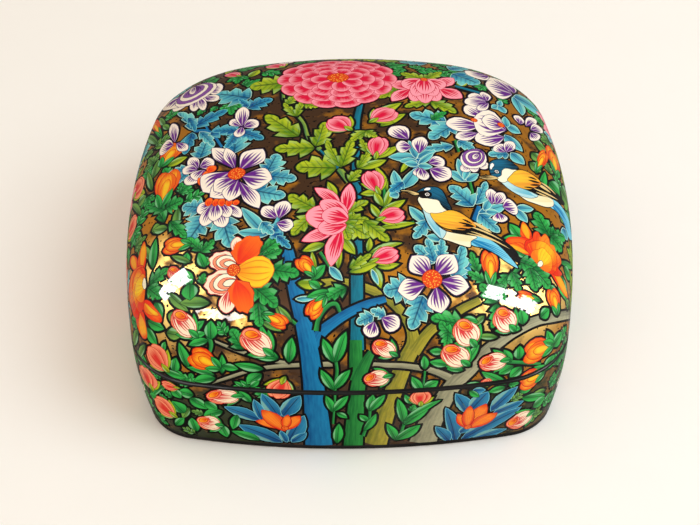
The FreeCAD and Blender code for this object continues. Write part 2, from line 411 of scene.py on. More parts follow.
def grown(run, side, distance):
    """Closed outlines moved outwards: each corner goes along its two edges' mean normal."""
    x_edge, y_edge = np.roll(run, -1, 1) - run, np.roll(side, -1, 1) - side
    size = np.maximum(np.hypot(x_edge, y_edge), 1e-6)
    x_edge, y_edge = x_edge / size, y_edge / size
    x_mean, y_mean = x_edge + np.roll(x_edge, 1, 1), y_edge + np.roll(y_edge, 1, 1)
    size = np.maximum(np.hypot(x_mean, y_mean), SHARPEST)
    area = (run * np.roll(side, -1, 1) - np.roll(run, -1, 1) * side).sum(1, keepdims=True)
    turn = np.sign(area) * distance
    return run + turn * 2 * y_mean / size ** 2, side - turn * 2 * x_mean / size ** 2


def chance(chart):
    """A number from 0 to 1 for each chart point, the same on every run."""
    chart = np.round(chart, 2)
    return np.modf(np.abs(np.sin(chart[:, 0] * 12.9898 + chart[:, 1] * 78.233) * 4375.8))[0]


# The order at which every motif's black outline lies: over the branches, under leaves and flowers
OUTLINES = 19.4
# The order in which the motifs lie, from the back to the front
ORDERS = {
    "grown leaf": OUTLINES + 0.5,
    "stem": OUTLINES + 0.55, "blade": 20, "leaf": 22, "motif": 30, "hidden flower": 31, "warm petal": 33,
    "shell": 33.5, "spray": 34, "round cup": 34.4, "tuft": 34.8, "purple petal": 36, "purple middle": 36.8,
    "lotus petal": 37, "lotus cup": 37.3, "peony floor": 37.9, "peony": 38, "pollen": 39.9, "bird": 40,
    "long feather": 41.35, "feather streak": 41.96,
}
# How far apart in order are a motif's parts or fine marks, a rosette's rings, patches, cups and the
# marks of a cup, and how far a branch's black outline is below it
PART_STEP, RING_STEP, PATCH_STEP, CUP_STEP, CUP_MARK_STEP, HALO_DROP = 1e-3, 0.3, 0.01, 0.05, 0.002, 0.4
# The same for the kinds of grown flower, a flower's fanned petals and its middle, and kinds of grown leaf
FLOWER_STEP, PETAL_STEP, MIDDLE_STEP, LEAF_STEP = 0.5, 0.01, 0.1, 0.05
# How far a fill lies above its own fine line
FILL_STEP = 1e-5
# Widths in mm of the fine line round a motif, and round a disc or a patch
MOTIF_LINE, FINE_LINE = 0.17, 0.14
# The least and the most that a motif's half width may be, as shares of its length
SLIMMEST, BROADEST = 0.02, 1.3
# A branch is cut into so many pieces from point to point, and its bark repeats in so many of its units
BRANCH_PIECES, BARK_LENGTH = 6, 40
# Widths of the black outline round a branch, in pixels and in mm, and round a patch in mm
BRANCH_HALO, HIDDEN_BRANCH_HALO, PATCH_HALO = 2.4, 0.65, 0.36


class Painting:
    """Painted shapes on the chart, each with its order, colours, strokes and local coordinates."""

    def __init__(self, line):
        self.line = line
        self.chart, self.order, self.reader, self.kind, self.paint, self.seed = [], [], [], [], [], []

    def add(self, chart, order, reader, kind, light, dark, seed):
        """One polygon per row of chart points."""
        count = len(chart)
        self.chart += list(chart)
        self.order += list(np.broadcast_to(order, count))
        self.reader += list(np.broadcast_to(reader, (count, 2, 3)))
        self.kind += [kind] * count
        self.paint += [np.stack([light, dark])] * count
        self.seed += list(np.broadcast_to(seed, count))

    def stamp(self, place, width, shape, paint, kind, order, line=MOTIF_LINE, halo=None,
              under=OUTLINES, bend=0.1):
        """A unit outline at each place, with a fine line round it and a black outline under it."""
        halo = self.line if halo is None else halo
        seed = 0.98 * chance(place.base) + LOBES.get(shape, 0)
        light, dark, ink = PAINTS[paint]
        run, side = SHAPES[shape]
        length = place.length
        bow = (seed % 1 - 0.5)[:, None] * bend * length[:, None] * np.sin(math.pi * run)
        run = run * length[:, None]
        side = side * width[:, None] + bow
        reader = place.reader(length, width)
        if halo:
            self.add(place.at(*grown(run, side, halo)), under, reader, PLAIN, INK, INK, seed)
        if line:
            self.add(place.at(*grown(run, side, line)), order, reader, PLAIN, ink, ink, seed)
        self.add(place.at(run, side), order + FILL_STEP, reader, kind, light, dark, seed)


# Motifs made of parts: shape, paint or None for the motif's own, strokes, then the base and the
# tip (along, across) and the half width, as shares of the motif's length and half width
PARTS = {
    "bud": [
        ("blade", "lime", LEAF, 0.02, 0.0, 0.52, -1.15, 0.26),
        ("blade", "lime", LEAF, 0.02, 0.0, 0.52, 1.15, 0.26),
        ("petal", None, BLUSHING, 0.0, 0.1, 0.92, 0.5, 0.62),
        ("petal", None, BLUSHING, 0.0, 0.0, 0.96, -0.4, 0.66),
        ("petal", None, BLUSHING, 0.0, 0.1, 1.0, 0.12, 0.58),
        ("blade", "lime", LEAF, -0.12, 0.0, 0.28, 0.0, 0.22),
    ],
    "tulip": [
        ("petal", "orange", EDGED, 0.0, 0.0, 0.98, -0.45, 0.6),
        ("petal", "orange", EDGED, 0.0, 0.0, 1.0, 0.42, 0.6),
        ("petal", "orange", EDGED, 0.0, 0.0, 0.92, 0.0, 0.62),
        ("petal", "yellow", EDGED, 0.05, 0.0, 0.7, -0.08, 0.32),
        ("blade", "emerald", LEAF, -0.14, -0.05, 0.34, -0.55, 0.24),
        ("blade", "emerald", LEAF, -0.14, 0.05, 0.34, 0.55, 0.24),
    ],
    "rose": [
        ("blade", "emerald", LEAF, -0.06, 0.2, 0.46, 1.25, 0.26),
        ("blade", "emerald", LEAF, -0.06, -0.2, 0.46, -1.25, 0.26),
        ("round", "coral", PETAL, 0.3, 0.1, 1.0, 0.12, 0.84),
        ("petal", "blush", STREAK, 0.98, -0.3, 0.02, -0.3, 0.62),
        ("petal", "blush", STREAK, 0.98, 0.3, 0.02, 0.36, 0.6),
        ("petal", "blush", STREAK, 1.0, 0.0, -0.02, 0.02, 0.7),
        ("round", "coral", PETAL, 0.5, -0.56, 1.0, 0.1, 0.44),
        ("round", "orange", PETAL, 0.6, -0.5, 0.92, 0.0, 0.26),
        ("blade", "emerald", LEAF, -0.2, 0.0, 0.22, 0.05, 0.28),
    ],
    "frill": [
        ("fan", "blush", STREAK, 0.0, 0.0, 1.0, 0.0, 1.0),
        ("round", "coral", PETAL, 0.0, 0.06, 0.86, 0.12, 0.78),
        ("round", "cream", PLAIN, 0.02, 0.0, 0.74, 0.14, 0.66),
        ("petal", "coral", STREAK, 0.0, 0.1, 0.6, 0.2, 0.44),
        ("petal", "cream", PLAIN, 0.0, 0.14, 0.44, 0.22, 0.26),
    ],
    "sprig": [
        ("blade", None, PLAIN, -0.05, 0.0, 0.8, 0.0, 0.09),
        ("blade", None, LEAF, 0.12, 0.0, 0.42, 0.95, 0.32),
        ("blade", None, LEAF, 0.12, 0.0, 0.42, -0.95, 0.32),
        ("blade", None, LEAF, 0.44, 0.0, 0.78, 0.85, 0.3),
        ("blade", None, LEAF, 0.44, 0.0, 0.78, -0.85, 0.3),
        ("blade", None, LEAF, 0.68, 0.0, 1.0, 0.05, 0.3),
    ],
    "trefoil": [
        ("leaf", None, LEAF, 0.1, 0.0, 0.55, 1.0, 0.42),
        ("leaf", None, LEAF, 0.1, 0.0, 0.55, -1.0, 0.42),
        ("leaf", None, LEAF, 0.0, 0.0, 1.0, 0.0, 0.5),
    ],
    "shells": [
        ("fan", "red", EDGED, 0.0, 0.0, 1.0, 0.0, 1.0),
        ("fan", "orange", EDGED, 0.0, 0.02, 0.8, 0.04, 0.78),
        ("fan", "yellow", EDGED, 0.02, 0.0, 0.56, 0.0, 0.52),
        ("round", "cream", PLAIN, 0.03, -0.1, 0.16, -0.1, 0.14),
    ],
}


class Artist:
    """Paints rows of motifs: from the photograph's pixels, or straight on the chart."""

    def __init__(self, painting):
        self.painting = painting

    def marks(self, rows):
        """Places and half widths of rows in pixels: base x, y, tip x, y and half width."""
        rows = np.array(rows, float).reshape(-1, 5)
        base, tip, half = rows[:, :2], rows[:, 2:4], rows[:, 4:]
        run = tip - base
        across = np.stack([-run[:, 1], run[:, 0]], 1) / np.hypot(*run.T)[:, None]
        middle = (base + tip) / 2
        place = Place(seen(base), seen(tip))
        sides = np.stack([seen(middle + across * half), seen(middle - across * half)], 1)
        local = place.local(sides)[:, :, 1]
        width = np.abs(local[:, 0] - local[:, 1]) / 2
        return place, np.clip(width, SLIMMEST * place.length, BROADEST * place.length)

    def paint(self, marks, shape, paint, kind, order, step=0.01, **style):
        """One shape at each mark, later ones over earlier ones."""
        place, width = marks
        order = order + np.arange(len(width)) * step
        self.painting.stamp(place, width, shape, paint, kind, order, **style)

    def motif(self, marks, parts, paint, order, step=0.02):
        """A motif of several parts at each mark."""
        place, width = marks
        order = order + np.arange(len(width)) * step
        for level, (shape, own, kind, run, side, tip_run, tip_side, half) in enumerate(PARTS[parts]):
            base = place.at((run * place.length)[:, None], (side * width)[:, None])[:, 0]
            tip = place.at((tip_run * place.length)[:, None], (tip_side * width)[:, None])[:, 0]
            part = Place(base, tip)
            level = order + (level + 1) * PART_STEP
            self.painting.stamp(part, half * width, shape, own or paint, kind, level, bend=0.06)

    def disc(self, centre, radius, paint, kind, order, line=FINE_LINE):
        """A round centre at chart points, with a radius in mm."""
        centre = np.atleast_2d(centre)
        towards = Place(centre, centre + [1.0, 0.0])
        reach = np.broadcast_to(radius, len(centre))[:, None]
        base = towards.at(-reach, 0 * reach)[:, 0]
        tip = towards.at(reach, 0 * reach)[:, 0]
        self.painting.stamp(Place(base, tip), reach[:, 0], "disc", paint, kind, order, line, 0, bend=0)

    def reach(self, centre, edge):
        """Length in mm of a line between two pixels."""
        return float(Place(seen(np.array([centre])), seen(np.array([edge]))).length[0])

    def centre(self, centre, half, order):
        """A flower's stippled middle, in pixels."""
        radius = self.reach(centre, (centre[0] + half, centre[1]))
        self.disc(seen(np.array([centre])), radius, "pollen", STIPPLE, order)

    def rosette(self, centre, radius, rings, order):
        """Rings of petals round a chart point, each turned by half a petal more than the last."""
        centre = np.atleast_2d(centre)
        level_place = Place(centre, centre + [1.0, 0.0])
        for level, (count, inner, outer, half, paint, shape) in enumerate(rings):
            turn = (np.arange(count) + 0.5 * level) * 2 * math.pi / count
            ends = []
            for share in (inner, outer):
                run, side = radius * share * np.cos(turn), radius * share * np.sin(turn)
                ends.append(level_place.at(run[None], side[None])[0])
            marks = (Place(*ends), np.full(count, half * radius))
            self.paint(marks, shape, paint, BLUSHING, order + level * RING_STEP, halo=0 if level else None)

    def strip(self, points, paint, order, project=seen, halo=BRANCH_HALO):
        """A branch along a smooth line of points and widths, in pixels or chart mm, as barked quads."""
        path = smooth_line(np.array(points, float), BRANCH_PIECES)
        step = np.gradient(path[:, :2], axis=0)
        across = np.stack([-step[:, 1], step[:, 0]], 1) / np.hypot(*step.T)[:, None]
        light, dark, _ = PAINTS[paint]
        length = np.r_[0, np.cumsum(np.hypot(*np.diff(path[:, :2], axis=0).T))] / BARK_LENGTH
        for grow, level, strokes, tones in ((halo, order - HALO_DROP, PLAIN, (INK, INK)),
                                            (0.0, order, BARK, (light, dark))):
            half = path[:, 2:] / 2 + grow
            left, right = project(path[:, :2] - across * half), project(path[:, :2] + across * half)
            quads = np.stack([left[:-1], left[1:], right[1:], right[:-1]], 1)
            target = np.stack([np.stack([length[:-1], length[1:], length[1:], length[:-1]], 1),
                               np.broadcast_to([-1, -1, 1, 1], (len(quads), 4))], 2)
            corners = np.concatenate([quads, np.ones_like(quads[..., :1])], 2)
            reader = (np.linalg.pinv(corners) @ target).transpose(0, 2, 1)
            self.painting.add(quads, level, reader, strokes, *tones, 0.5)

    def patch(self, points, axis, paint, kind, order, halo=PATCH_HALO, under=OUTLINES):
        """A smooth closed outline in pixels, its strokes read along an axis: base, tip, half width."""
        chart = seen(smooth_loop(np.array(points, float)))[None]
        place, width = self.marks([axis])
        light, dark, ink = PAINTS[paint]
        local = place.local(chart)
        reader = place.reader(place.length, width)
        for distance, level, strokes, tones in ((halo, under, PLAIN, (INK, INK)),
                                                (FINE_LINE, order, PLAIN, (ink, ink)),
                                                (0.0, order + FILL_STEP, kind, (light, dark))):
            run, side = np.moveaxis(local, 2, 0)
            if distance:
                run, side = grown(run, side, distance)
            self.painting.add(place.at(run, side), level, reader, strokes, *tones, chance(place.base))


def smooth_line(points, pieces):
    """A Catmull-Rom curve through rows of values, each stretch cut into as many pieces."""
    padded = np.vstack([2 * points[0] - points[1], points, 2 * points[-1] - points[-2]])
    return catmull(padded[:-3], padded[1:-2], padded[2:-1], padded[3:], pieces, points[-1:])


def smooth_loop(points, pieces=4):
    """A closed Catmull-Rom curve through points."""
    return catmull(np.roll(points, 1, 0), points, np.roll(points, -1, 0), np.roll(points, -2, 0), pieces,
                   points[:0])


def catmull(before, start, end, after, pieces, last):
    """Points of cubics from start to end, sloped there as from before to end and start to after."""
    share = (np.arange(pieces) / pieces)[:, None]
    value = 0.5 * (2 * start[:, None] + (end - before)[:, None] * share
                   + (2 * before - 5 * start + 4 * end - after)[:, None] * share ** 2
                   + (3 * start - before - 3 * end + after)[:, None] * share ** 3)
    return np.vstack([value.reshape(-1, start.shape[1]), last])


# The layout in the photograph's pixels. A row is base x, base y, tip x, tip y and half width
LIME_LEAVES = [
    (286, 83, 250, 87, 8), (298, 136, 266, 115, 10), (316, 146, 325, 122, 9), (314, 148, 275, 149, 8),
    (287, 104, 298, 95, 4), (305, 104, 318, 107, 4), (336, 168, 296, 167, 11), (341, 167, 327, 140, 6),
    (342, 166, 352, 139, 8), (314, 208, 289, 195, 9), (312, 216, 292, 235, 8), (343, 216, 368, 201, 7),
    (343, 219, 369, 220, 7), (343, 222, 370, 237, 9), (343, 224, 349, 240, 8), (364, 221, 389, 241, 8),
    (358, 168, 370, 149, 5), (368, 152, 361, 139, 4), (350, 181, 361, 170, 5), (431, 102, 456, 113, 5),
    (430, 101, 405, 107, 4), (424, 80, 401, 73, 4), (425, 79, 441, 72, 4), (398, 89, 379, 98, 4),
    (397, 90, 383, 85, 3), (366, 131, 351, 141, 5), (366, 131, 377, 137, 4), (297, 116, 284, 103, 4),
    (297, 116, 304, 99, 4), (350, 268, 371, 254, 5),
]
LIME_BLADES = [
    (336, 197, 328, 182, 4), (324, 244, 303, 251, 4), (343, 238, 355, 254, 5),
    (316, 268, 312, 252, 2.5), (338, 268, 341, 248, 3), (378, 193, 361, 194, 3),
    (383, 206, 375, 191, 3.5), (385, 207, 395, 184, 4), (381, 218, 371, 204, 3.5),
    (381, 212, 405, 200, 4), (380, 228, 415, 223, 3), (387, 190, 375, 166, 3.5),
    (368, 251, 370, 238, 3), (371, 266, 381, 288, 5), (378, 267, 399, 264, 3), (370, 253, 402, 243, 3),
    (411, 160, 401, 172, 2.5), (360, 168, 386, 160, 4), (374, 158, 399, 146, 3.5),
    (350, 272, 379, 262, 4), (371, 116, 401, 103, 4), (381, 126, 405, 114, 4), (298, 283, 322, 284, 5),
    (232, 70, 226, 74, 2), (250, 77, 259, 70, 3), (168, 166, 187, 157, 3), (457, 85, 467, 83, 2.5),
]
EMERALD_LEAVES = [
    (257, 255, 283, 237, 8), (261, 257, 282, 250, 5), (270, 270, 299, 274, 10),
    (254, 287, 277, 307, 11), (258, 303, 260, 327, 9), (549, 236, 536, 212, 8), (550, 233, 565, 238, 7),
    (551, 236, 562, 251, 6), (462, 325, 431, 318, 9), (346, 288, 324, 300, 7), (455, 340, 440, 321, 8),
    (448, 332, 446, 348, 6), (243, 349, 231, 329, 9), (150, 285, 169, 269, 6), (148, 288, 161, 298, 8),
    (497, 302, 480, 284, 8), (497, 304, 492, 328, 6), (478, 272, 471, 252, 5), (484, 281, 468, 272, 5),
    (520, 262, 541, 270, 8), (533, 268, 550, 288, 9), (530, 268, 536, 291, 7), (508, 275, 496, 288, 6),
    (512, 272, 520, 292, 6), (495, 284, 505, 300, 6), (432, 120, 446, 112, 4), (201, 251, 187, 238, 6),
    (201, 252, 214, 240, 5), (164, 222, 152, 203, 6), (166, 208, 183, 200, 7), (165, 210, 146, 205, 6),
    (170, 222, 186, 238, 7),
]
EMERALD_BLADES = [
    (197, 262, 212, 261, 5), (185, 264, 187, 253, 4), (205, 267, 199, 253, 5), (155, 303, 162, 318, 5),
    (148, 321, 164, 329, 5), (147, 328, 157, 345, 4), (153, 268, 156, 239, 4), (191, 286, 182, 270, 6),
    (190, 284, 190, 300, 8), (190, 333, 204, 321, 4), (186, 338, 206, 333, 4),
    (211, 339, 211, 321, 6.5), (208, 340, 189, 345, 4), (188, 367, 179, 343, 4.5),
    (163, 351, 165, 342, 2.5), (174, 372, 176, 358, 5), (164, 370, 186, 378, 3),
    (222, 373, 222, 355, 3.5), (222, 366, 238, 369, 3.5), (214, 375, 187, 367, 3),
    (215, 378, 194, 381, 4.5), (272, 359, 261, 325, 5.5), (278, 358, 262, 350, 4),
    (277, 359, 255, 357, 2.5), (289, 362, 292, 338, 6), (263, 369, 235, 364, 4),
    (261, 374, 247, 384, 5.5), (251, 387, 259, 381, 3), (334, 362, 323, 339, 5),
    (336, 362, 346, 332, 6), (334, 390, 321, 370, 4.5), (335, 389, 350, 370, 4.5),
    (333, 412, 326, 396, 4), (334, 411, 348, 396, 4), (337, 443, 339, 424, 5),
    (337, 413, 347, 418, 2.5), (370, 411, 373, 395, 5), (370, 411, 385, 395, 4),
    (368, 421, 360, 415, 3), (364, 431, 376, 414, 3.5), (396, 440, 387, 424, 4.5),
    (396, 440, 420, 425, 4.5), (404, 423, 398, 399, 5), (404, 425, 429, 408, 4.5),
    (404, 421, 441, 400, 3), (411, 404, 405, 395, 3), (422, 391, 412, 377, 4.5),
    (424, 389, 438, 381, 4.5), (425, 369, 424, 356, 4), (443, 352, 430, 351, 3.5),
    (448, 365, 430, 362, 4), (463, 367, 479, 345, 4.5), (463, 370, 447, 369, 3),
    (511, 362, 504, 350, 4), (519, 359, 520, 346, 5), (513, 366, 499, 374, 4.5),
    (521, 367, 510, 377, 4.5), (506, 384, 482, 372, 4.5), (463, 387, 481, 383, 2.5),
    (523, 324, 521, 310, 6), (552, 349, 547, 331, 4.5), (553, 346, 562, 332, 4),
    (545, 369, 554, 355, 4), (548, 369, 534, 367, 3), (505, 387, 489, 392, 3), (470, 391, 479, 397, 3),
    (463, 319, 478, 322, 4), (312, 280, 325, 265, 5), (330, 291, 307, 297, 4), (320, 288, 309, 281, 4),
    (521, 239, 510, 224, 5), (523, 240, 504, 238, 3.5), (528, 257, 509, 247, 4),
    (560, 262, 572, 268, 3), (564, 268, 570, 279, 3), (549, 183, 560, 197, 6), (540, 192, 545, 172, 4),
    (560, 275, 566, 300, 4), (549, 287, 557, 293, 4), (541, 317, 549, 309, 5), (513, 327, 520, 329, 3),
    (193, 395, 179, 391, 4.5), (150, 391, 166, 386, 4), (190, 398, 207, 409, 4.5),
    (184, 413, 172, 401, 5.5), (197, 431, 192, 418, 5), (222, 411, 204, 416, 4.5),
    (220, 424, 227, 437, 5), (237, 415, 233, 429, 5), (251, 402, 239, 391, 3.5),
    (260, 440, 232, 431, 3.5), (172, 389, 181, 398, 4), (176, 425, 184, 418, 4),
    (205, 402, 217, 410, 4), (522, 398, 545, 395, 4), (520, 392, 533, 386, 3),
    (533, 407, 545, 397, 3.5), (164, 385, 152, 396, 3), (160, 400, 150, 394, 3),
]
OLIVE_BLADES = [
    (168, 293, 188, 311, 4.5), (209, 303, 180, 303, 5.5), (167, 333, 181, 336, 6),
    (173, 312, 170, 321, 3), (276, 306, 284, 322, 3), (189, 408, 183, 418, 4), (152, 260, 141, 246, 4),
    (160, 226, 152, 231, 4), (167, 228, 153, 230, 4), (178, 208, 176, 232, 4), (152, 190, 148, 172, 3),
    (153, 178, 158, 160, 3.5), (165, 125, 160, 118, 3), (169, 129, 163, 125, 3),
    (158, 144, 147, 136, 4), (190, 262, 172, 256, 3), (262, 322, 281, 331, 3.5),
    (292, 322, 278, 306, 3), (484, 316, 474, 326, 3), (534, 142, 546, 150, 4), (532, 153, 541, 162, 4),
    (530, 163, 541, 172, 4), (562, 210, 568, 226, 4), (561, 190, 568, 206, 4), (497, 337, 477, 336, 3),
    (545, 390, 530, 396, 3), (138, 205, 146, 196, 3), (141, 215, 132, 205, 3), (138, 250, 145, 262, 3),
    (135, 300, 130, 285, 3), (138, 330, 134, 345, 3), (145, 345, 139, 358, 3),
]
CYAN_LEAVES = [
    (250, 98, 216, 94, 9), (234, 153, 236, 129, 11), (200, 158, 207, 140, 9), (193, 130, 178, 113, 6),
    (267, 172, 277, 154, 10), (268, 176, 296, 179, 8), (252, 190, 285, 196, 10),
    (202, 208, 183, 206, 9), (206, 216, 189, 240, 12), (222, 216, 231, 247, 13),
    (476, 204, 486, 182, 6.5), (473, 206, 450, 186, 9), (479, 214, 499, 232, 7),
    (434, 263, 415, 246, 9), (434, 262, 427, 239, 7), (440, 258, 442, 239, 5.5),
    (453, 278, 463, 245, 9), (411, 286, 384, 291, 13), (423, 296, 411, 329, 12),
    (427, 220, 414, 238, 7), (446, 122, 410, 114, 8), (452, 74, 479, 84, 7), (456, 124, 430, 139, 9),
    (458, 141, 474, 150, 5), (385, 316, 371, 310, 5), (373, 316, 357, 323, 7), (186, 168, 169, 173, 4),
    (186, 173, 177, 183, 5), (200, 132, 214, 146, 5), (508, 154, 489, 155, 5), (453, 146, 424, 149, 4),
    (450, 70, 470, 66, 3.5), (262, 222, 273, 234, 6),
]
CYAN_BLADES = [
    (426, 222, 410, 207, 4.5), (400, 190, 394, 171, 5), (402, 188, 417, 168, 6),
    (441, 240, 427, 236, 3.5), (517, 208, 533, 209, 3.5), (517, 210, 527, 222, 4),
    (467, 181, 451, 171, 4.5), (467, 181, 478, 174, 4), (465, 180, 458, 159, 4),
    (470, 168, 464, 180, 3), (507, 126, 520, 133, 3.5), (507, 127, 505, 117, 3.5),
    (505, 135, 522, 151, 4.5), (511, 153, 524, 164, 4.5), (499, 106, 492, 108, 3),
    (499, 106, 501, 101, 3), (499, 106, 505, 113, 3), (514, 97, 522, 115, 4.5),
    (514, 97, 541, 116, 4.5), (417, 158, 389, 157, 4.5), (417, 161, 400, 161, 3),
    (416, 158, 409, 141, 4), (418, 158, 438, 146, 4), (419, 164, 433, 153, 3), (418, 165, 405, 163, 3),
    (418, 166, 432, 167, 3), (266, 234, 242, 208, 6), (268, 234, 238, 232, 5), (479, 213, 506, 205, 5),
    (484, 210, 490, 198, 4), (486, 212, 499, 213, 3), (398, 193, 390, 196, 4),
    (296, 299, 314, 298, 2.5), (330, 267, 342, 280, 4), (372, 270, 378, 284, 2.5),
    (563, 228, 567, 240, 3),
]
BLUE_LEAVES = [
    (248, 108, 272, 99, 5.5), (248, 107, 239, 99, 3.5), (194, 127, 227, 110, 5),
    (210, 134, 238, 127, 5), (192, 133, 185, 154, 6), (237, 131, 213, 131, 4.5),
    (455, 278, 473, 261, 6), (240, 132, 263, 139, 5.5), (188, 118, 195, 131, 4),
    (403, 182, 390, 192, 5), (282, 238, 262, 222, 6), (277, 236, 290, 248, 4), (272, 232, 285, 222, 5),
    (238, 133, 226, 148, 5),
]
INDIGO_BLADES = [
    (260, 420, 225, 407, 5), (282, 442, 239, 425, 6), (262, 420, 254, 400, 5),
    (280, 418, 262, 394, 6.5), (283, 416, 300, 396, 8), (289, 441, 304, 416, 8),
    (292, 442, 306, 433, 4), (287, 442, 281, 431, 3.5), (455, 441, 446, 408, 7.5),
    (449, 441, 436, 427, 5.5), (469, 413, 456, 394, 7), (471, 410, 488, 392, 7),
    (491, 411, 517, 387, 5.5), (493, 414, 523, 401, 4), (461, 440, 521, 407, 5.5),
    (470, 441, 506, 429, 3.5), (460, 433, 469, 425, 3.5), (473, 391, 485, 390, 3),
]
PINK_BUDS = [
    (350, 129, 330, 119, 10), (372, 121, 395, 110, 9), (376, 157, 380, 137, 11),
    (379, 192, 369, 171, 11), (379, 219, 404, 213, 9), (372, 261, 398, 252, 9), (240, 76, 227, 74, 3),
    (283, 67, 271, 65, 3),
]
CORAL_BUDS = [
    (167, 370, 149, 346, 10), (175, 416, 155, 398, 7), (152, 389, 143, 366, 6), (178, 388, 162, 384, 4),
    (128, 238, 137, 219, 4), (134, 197, 142, 179, 5), (284, 379, 275, 398, 13), (487, 386, 486, 379, 6),
    (421, 405, 421, 391, 11),
]
ORANGE_TULIPS = [
    (163, 164, 178, 143, 9), (162, 203, 168, 171, 13), (188, 244, 164, 247, 9), (265, 315, 287, 325, 8),
    (313, 274, 299, 258, 9), (324, 298, 309, 317, 9), (491, 282, 489, 251, 9.5),
    (217, 367, 190, 354, 12), (551, 346, 524, 355, 13), (542, 373, 520, 384, 10),
    (538, 300, 518, 294, 5), (557, 312, 551, 289, 7), (160, 135, 150, 122, 5), (537, 170, 546, 152, 6),
    (556, 173, 553, 151, 6),
]
ROSES = [
    (194, 334, 174, 312, 11), (269, 352, 243, 332, 13), (238, 396, 207, 397, 8),
    (220, 425, 198, 421, 7), (394, 354, 374, 343, 9), (388, 376, 365, 381, 8), (466, 363, 444, 348, 12),
    (506, 360, 480, 364, 9), (513, 328, 497, 311, 12), (531, 413, 508, 426, 7),
    (474, 343, 458, 322, 13), (181, 280, 170, 268, 7),
]
# The two open purple flowers: middle, its half width and the petals
PURPLE_FLOWERS = [
    ((236.5, 173.5), 8.5, [
        (233, 168, 212, 148, 8), (235, 168, 226, 148, 6), (230, 172, 203, 192, 13), (237, 182, 210, 197, 9),
        (236, 178, 214, 191, 9), (238, 180, 229, 201, 9), (240, 182, 259, 208, 8), (242, 176, 272, 179, 11),
        (240, 170, 263, 149, 10)]),
    ((432, 279), 10, [
        (430, 276, 412, 256, 11), (425, 285, 398, 291, 11), (436, 287, 441, 313, 11),
        (441, 281, 469, 287, 10), (436, 275, 454, 255, 12)]),
]
# Petals of the small purple sprays, a line or two for each spray
PURPLE_SPRAYS = [
    (198, 168, 190, 158, 6), (200, 167, 214, 161, 6), (197, 170, 183, 169, 5), (197, 173, 187, 185, 6),
    (204, 170, 195, 180, 7),
    (214, 204, 197, 212, 6), (212, 205, 204, 226, 7), (226, 204, 241, 217, 5), (218, 208, 224, 227, 8),
    (222, 204, 229, 217, 6), (216, 203, 214, 221, 7),
    (276, 218, 263, 207, 7), (279, 218, 286, 201, 8), (277, 223, 293, 226, 6.5),
    (241, 126, 231, 120, 5), (244, 127, 258, 121, 5), (242, 127, 238, 137, 5), (242, 126, 243, 107, 7),
    (173, 145, 160, 150, 6), (175, 142, 172, 124, 5), (177, 143, 187, 150, 5),
    (485, 117, 465, 106, 6), (480, 126, 446, 124, 7), (477, 133, 456, 138, 5), (504, 137, 476, 141, 8),
    (506, 130, 474, 118, 13), (505, 126, 482, 120, 7),
    (514, 93, 494, 78, 6), (512, 94, 486, 86, 7),
    (486, 101, 468, 96, 4.5), (486, 102, 465, 103, 4.5), (487, 101, 483, 92, 4.5), (488, 103, 478, 110, 4),
    (488, 76, 468, 75, 4),
    (411, 147, 396, 146, 6), (408, 139, 391, 127, 8), (419, 153, 422, 137, 8), (419, 168, 417, 176, 5),
    (421, 168, 425, 180, 6), (429, 163, 444, 160, 6), (430, 169, 451, 177, 8),
    (520, 124, 519, 116, 5), (526, 126, 536, 120, 5), (531, 130, 542, 129, 5), (531, 133, 538, 140, 5),
    (505, 152, 496, 145, 6), (506, 152, 513, 142, 6),
    (492, 204, 491, 189, 6), (496, 204, 503, 193, 6), (498, 213, 502, 222, 7), (503, 207, 517, 207, 8),
    (374, 322, 369, 337, 8), (382, 318, 399, 327, 9),
]
# The two round purple blooms: hanging petals, then nested cups from the outer one in
PURPLE_CUPS = [
    ("purple", [(209, 91, 223, 87, 5), (205, 97, 218, 100, 4), (197, 98, 195, 111, 5),
                (200, 98, 204, 110, 4.5), (186, 99, 177, 111, 5), (181, 97, 167, 110, 6),
                (198, 85, 190, 105, 17),
                (478, 160, 486, 169, 5), (470, 164, 462, 171, 5), (476, 163, 473, 172, 5),
                (481, 150, 466, 167, 12)]),
    ("violet", [(198.5, 85, 191, 102, 14), (481, 150.5, 468, 165, 10)]),
    ("purple", [(196, 86, 191, 99.5, 10), (480, 152, 469.5, 162.5, 7.5)]),
    ("violet", [(196, 86.5, 192, 96.5, 7.5), (479, 153, 471, 161, 5.5)]),
    ("purple", [(194, 87.5, 193, 94, 3), (478, 154, 473.5, 159, 2.6)]),
]
# The two pink many-petalled flowers below and beside the peony: outer petals, then nested cups
LOTUS_PETALS = [
    (411, 87, 390, 83, 4.5), (410, 89, 392, 101, 5.5), (436, 86, 453, 78, 5.5), (440, 89, 462, 98, 5.5),
    (340, 204, 315, 188, 5.5), (346, 212, 350, 184, 7), (336, 229, 302, 241, 6), (341, 230, 331, 266, 8.5),
]
LOTUS_CUPS = [
    (424, 84, 413, 101, 8), (424, 84, 437, 101, 8), (424, 84, 425, 103, 9), (424, 80, 405, 88, 8),
    (424, 80, 442, 89, 8), (424, 80, 415, 96, 8), (424, 80, 434, 96, 8), (424, 78, 424, 94, 10),
    (346, 219, 306, 215, 12.5), (347, 215, 321, 201, 8), (346, 225, 318, 229, 8), (348, 219, 322, 214, 9),
]
# Petals of the orange and red flowers, by their paint
WARM_PETALS = {
    "blush": [(238, 256, 237, 237, 6), (229, 290, 226, 313, 8)],
    "red": [(238, 264, 258, 237, 12), (236, 280, 247, 312, 12)],
    "blaze": [(284, 428, 256, 421, 4), (285, 431, 262, 410, 7), (285, 430, 300, 416, 6),
              (285, 429, 288, 415, 5), (467, 428, 458, 414, 5), (468, 428, 486, 404, 7),
              (469, 428, 497, 413, 5), (467, 428, 470, 406, 6)],
    "yellow": [(234, 271, 274, 270, 16)],
}
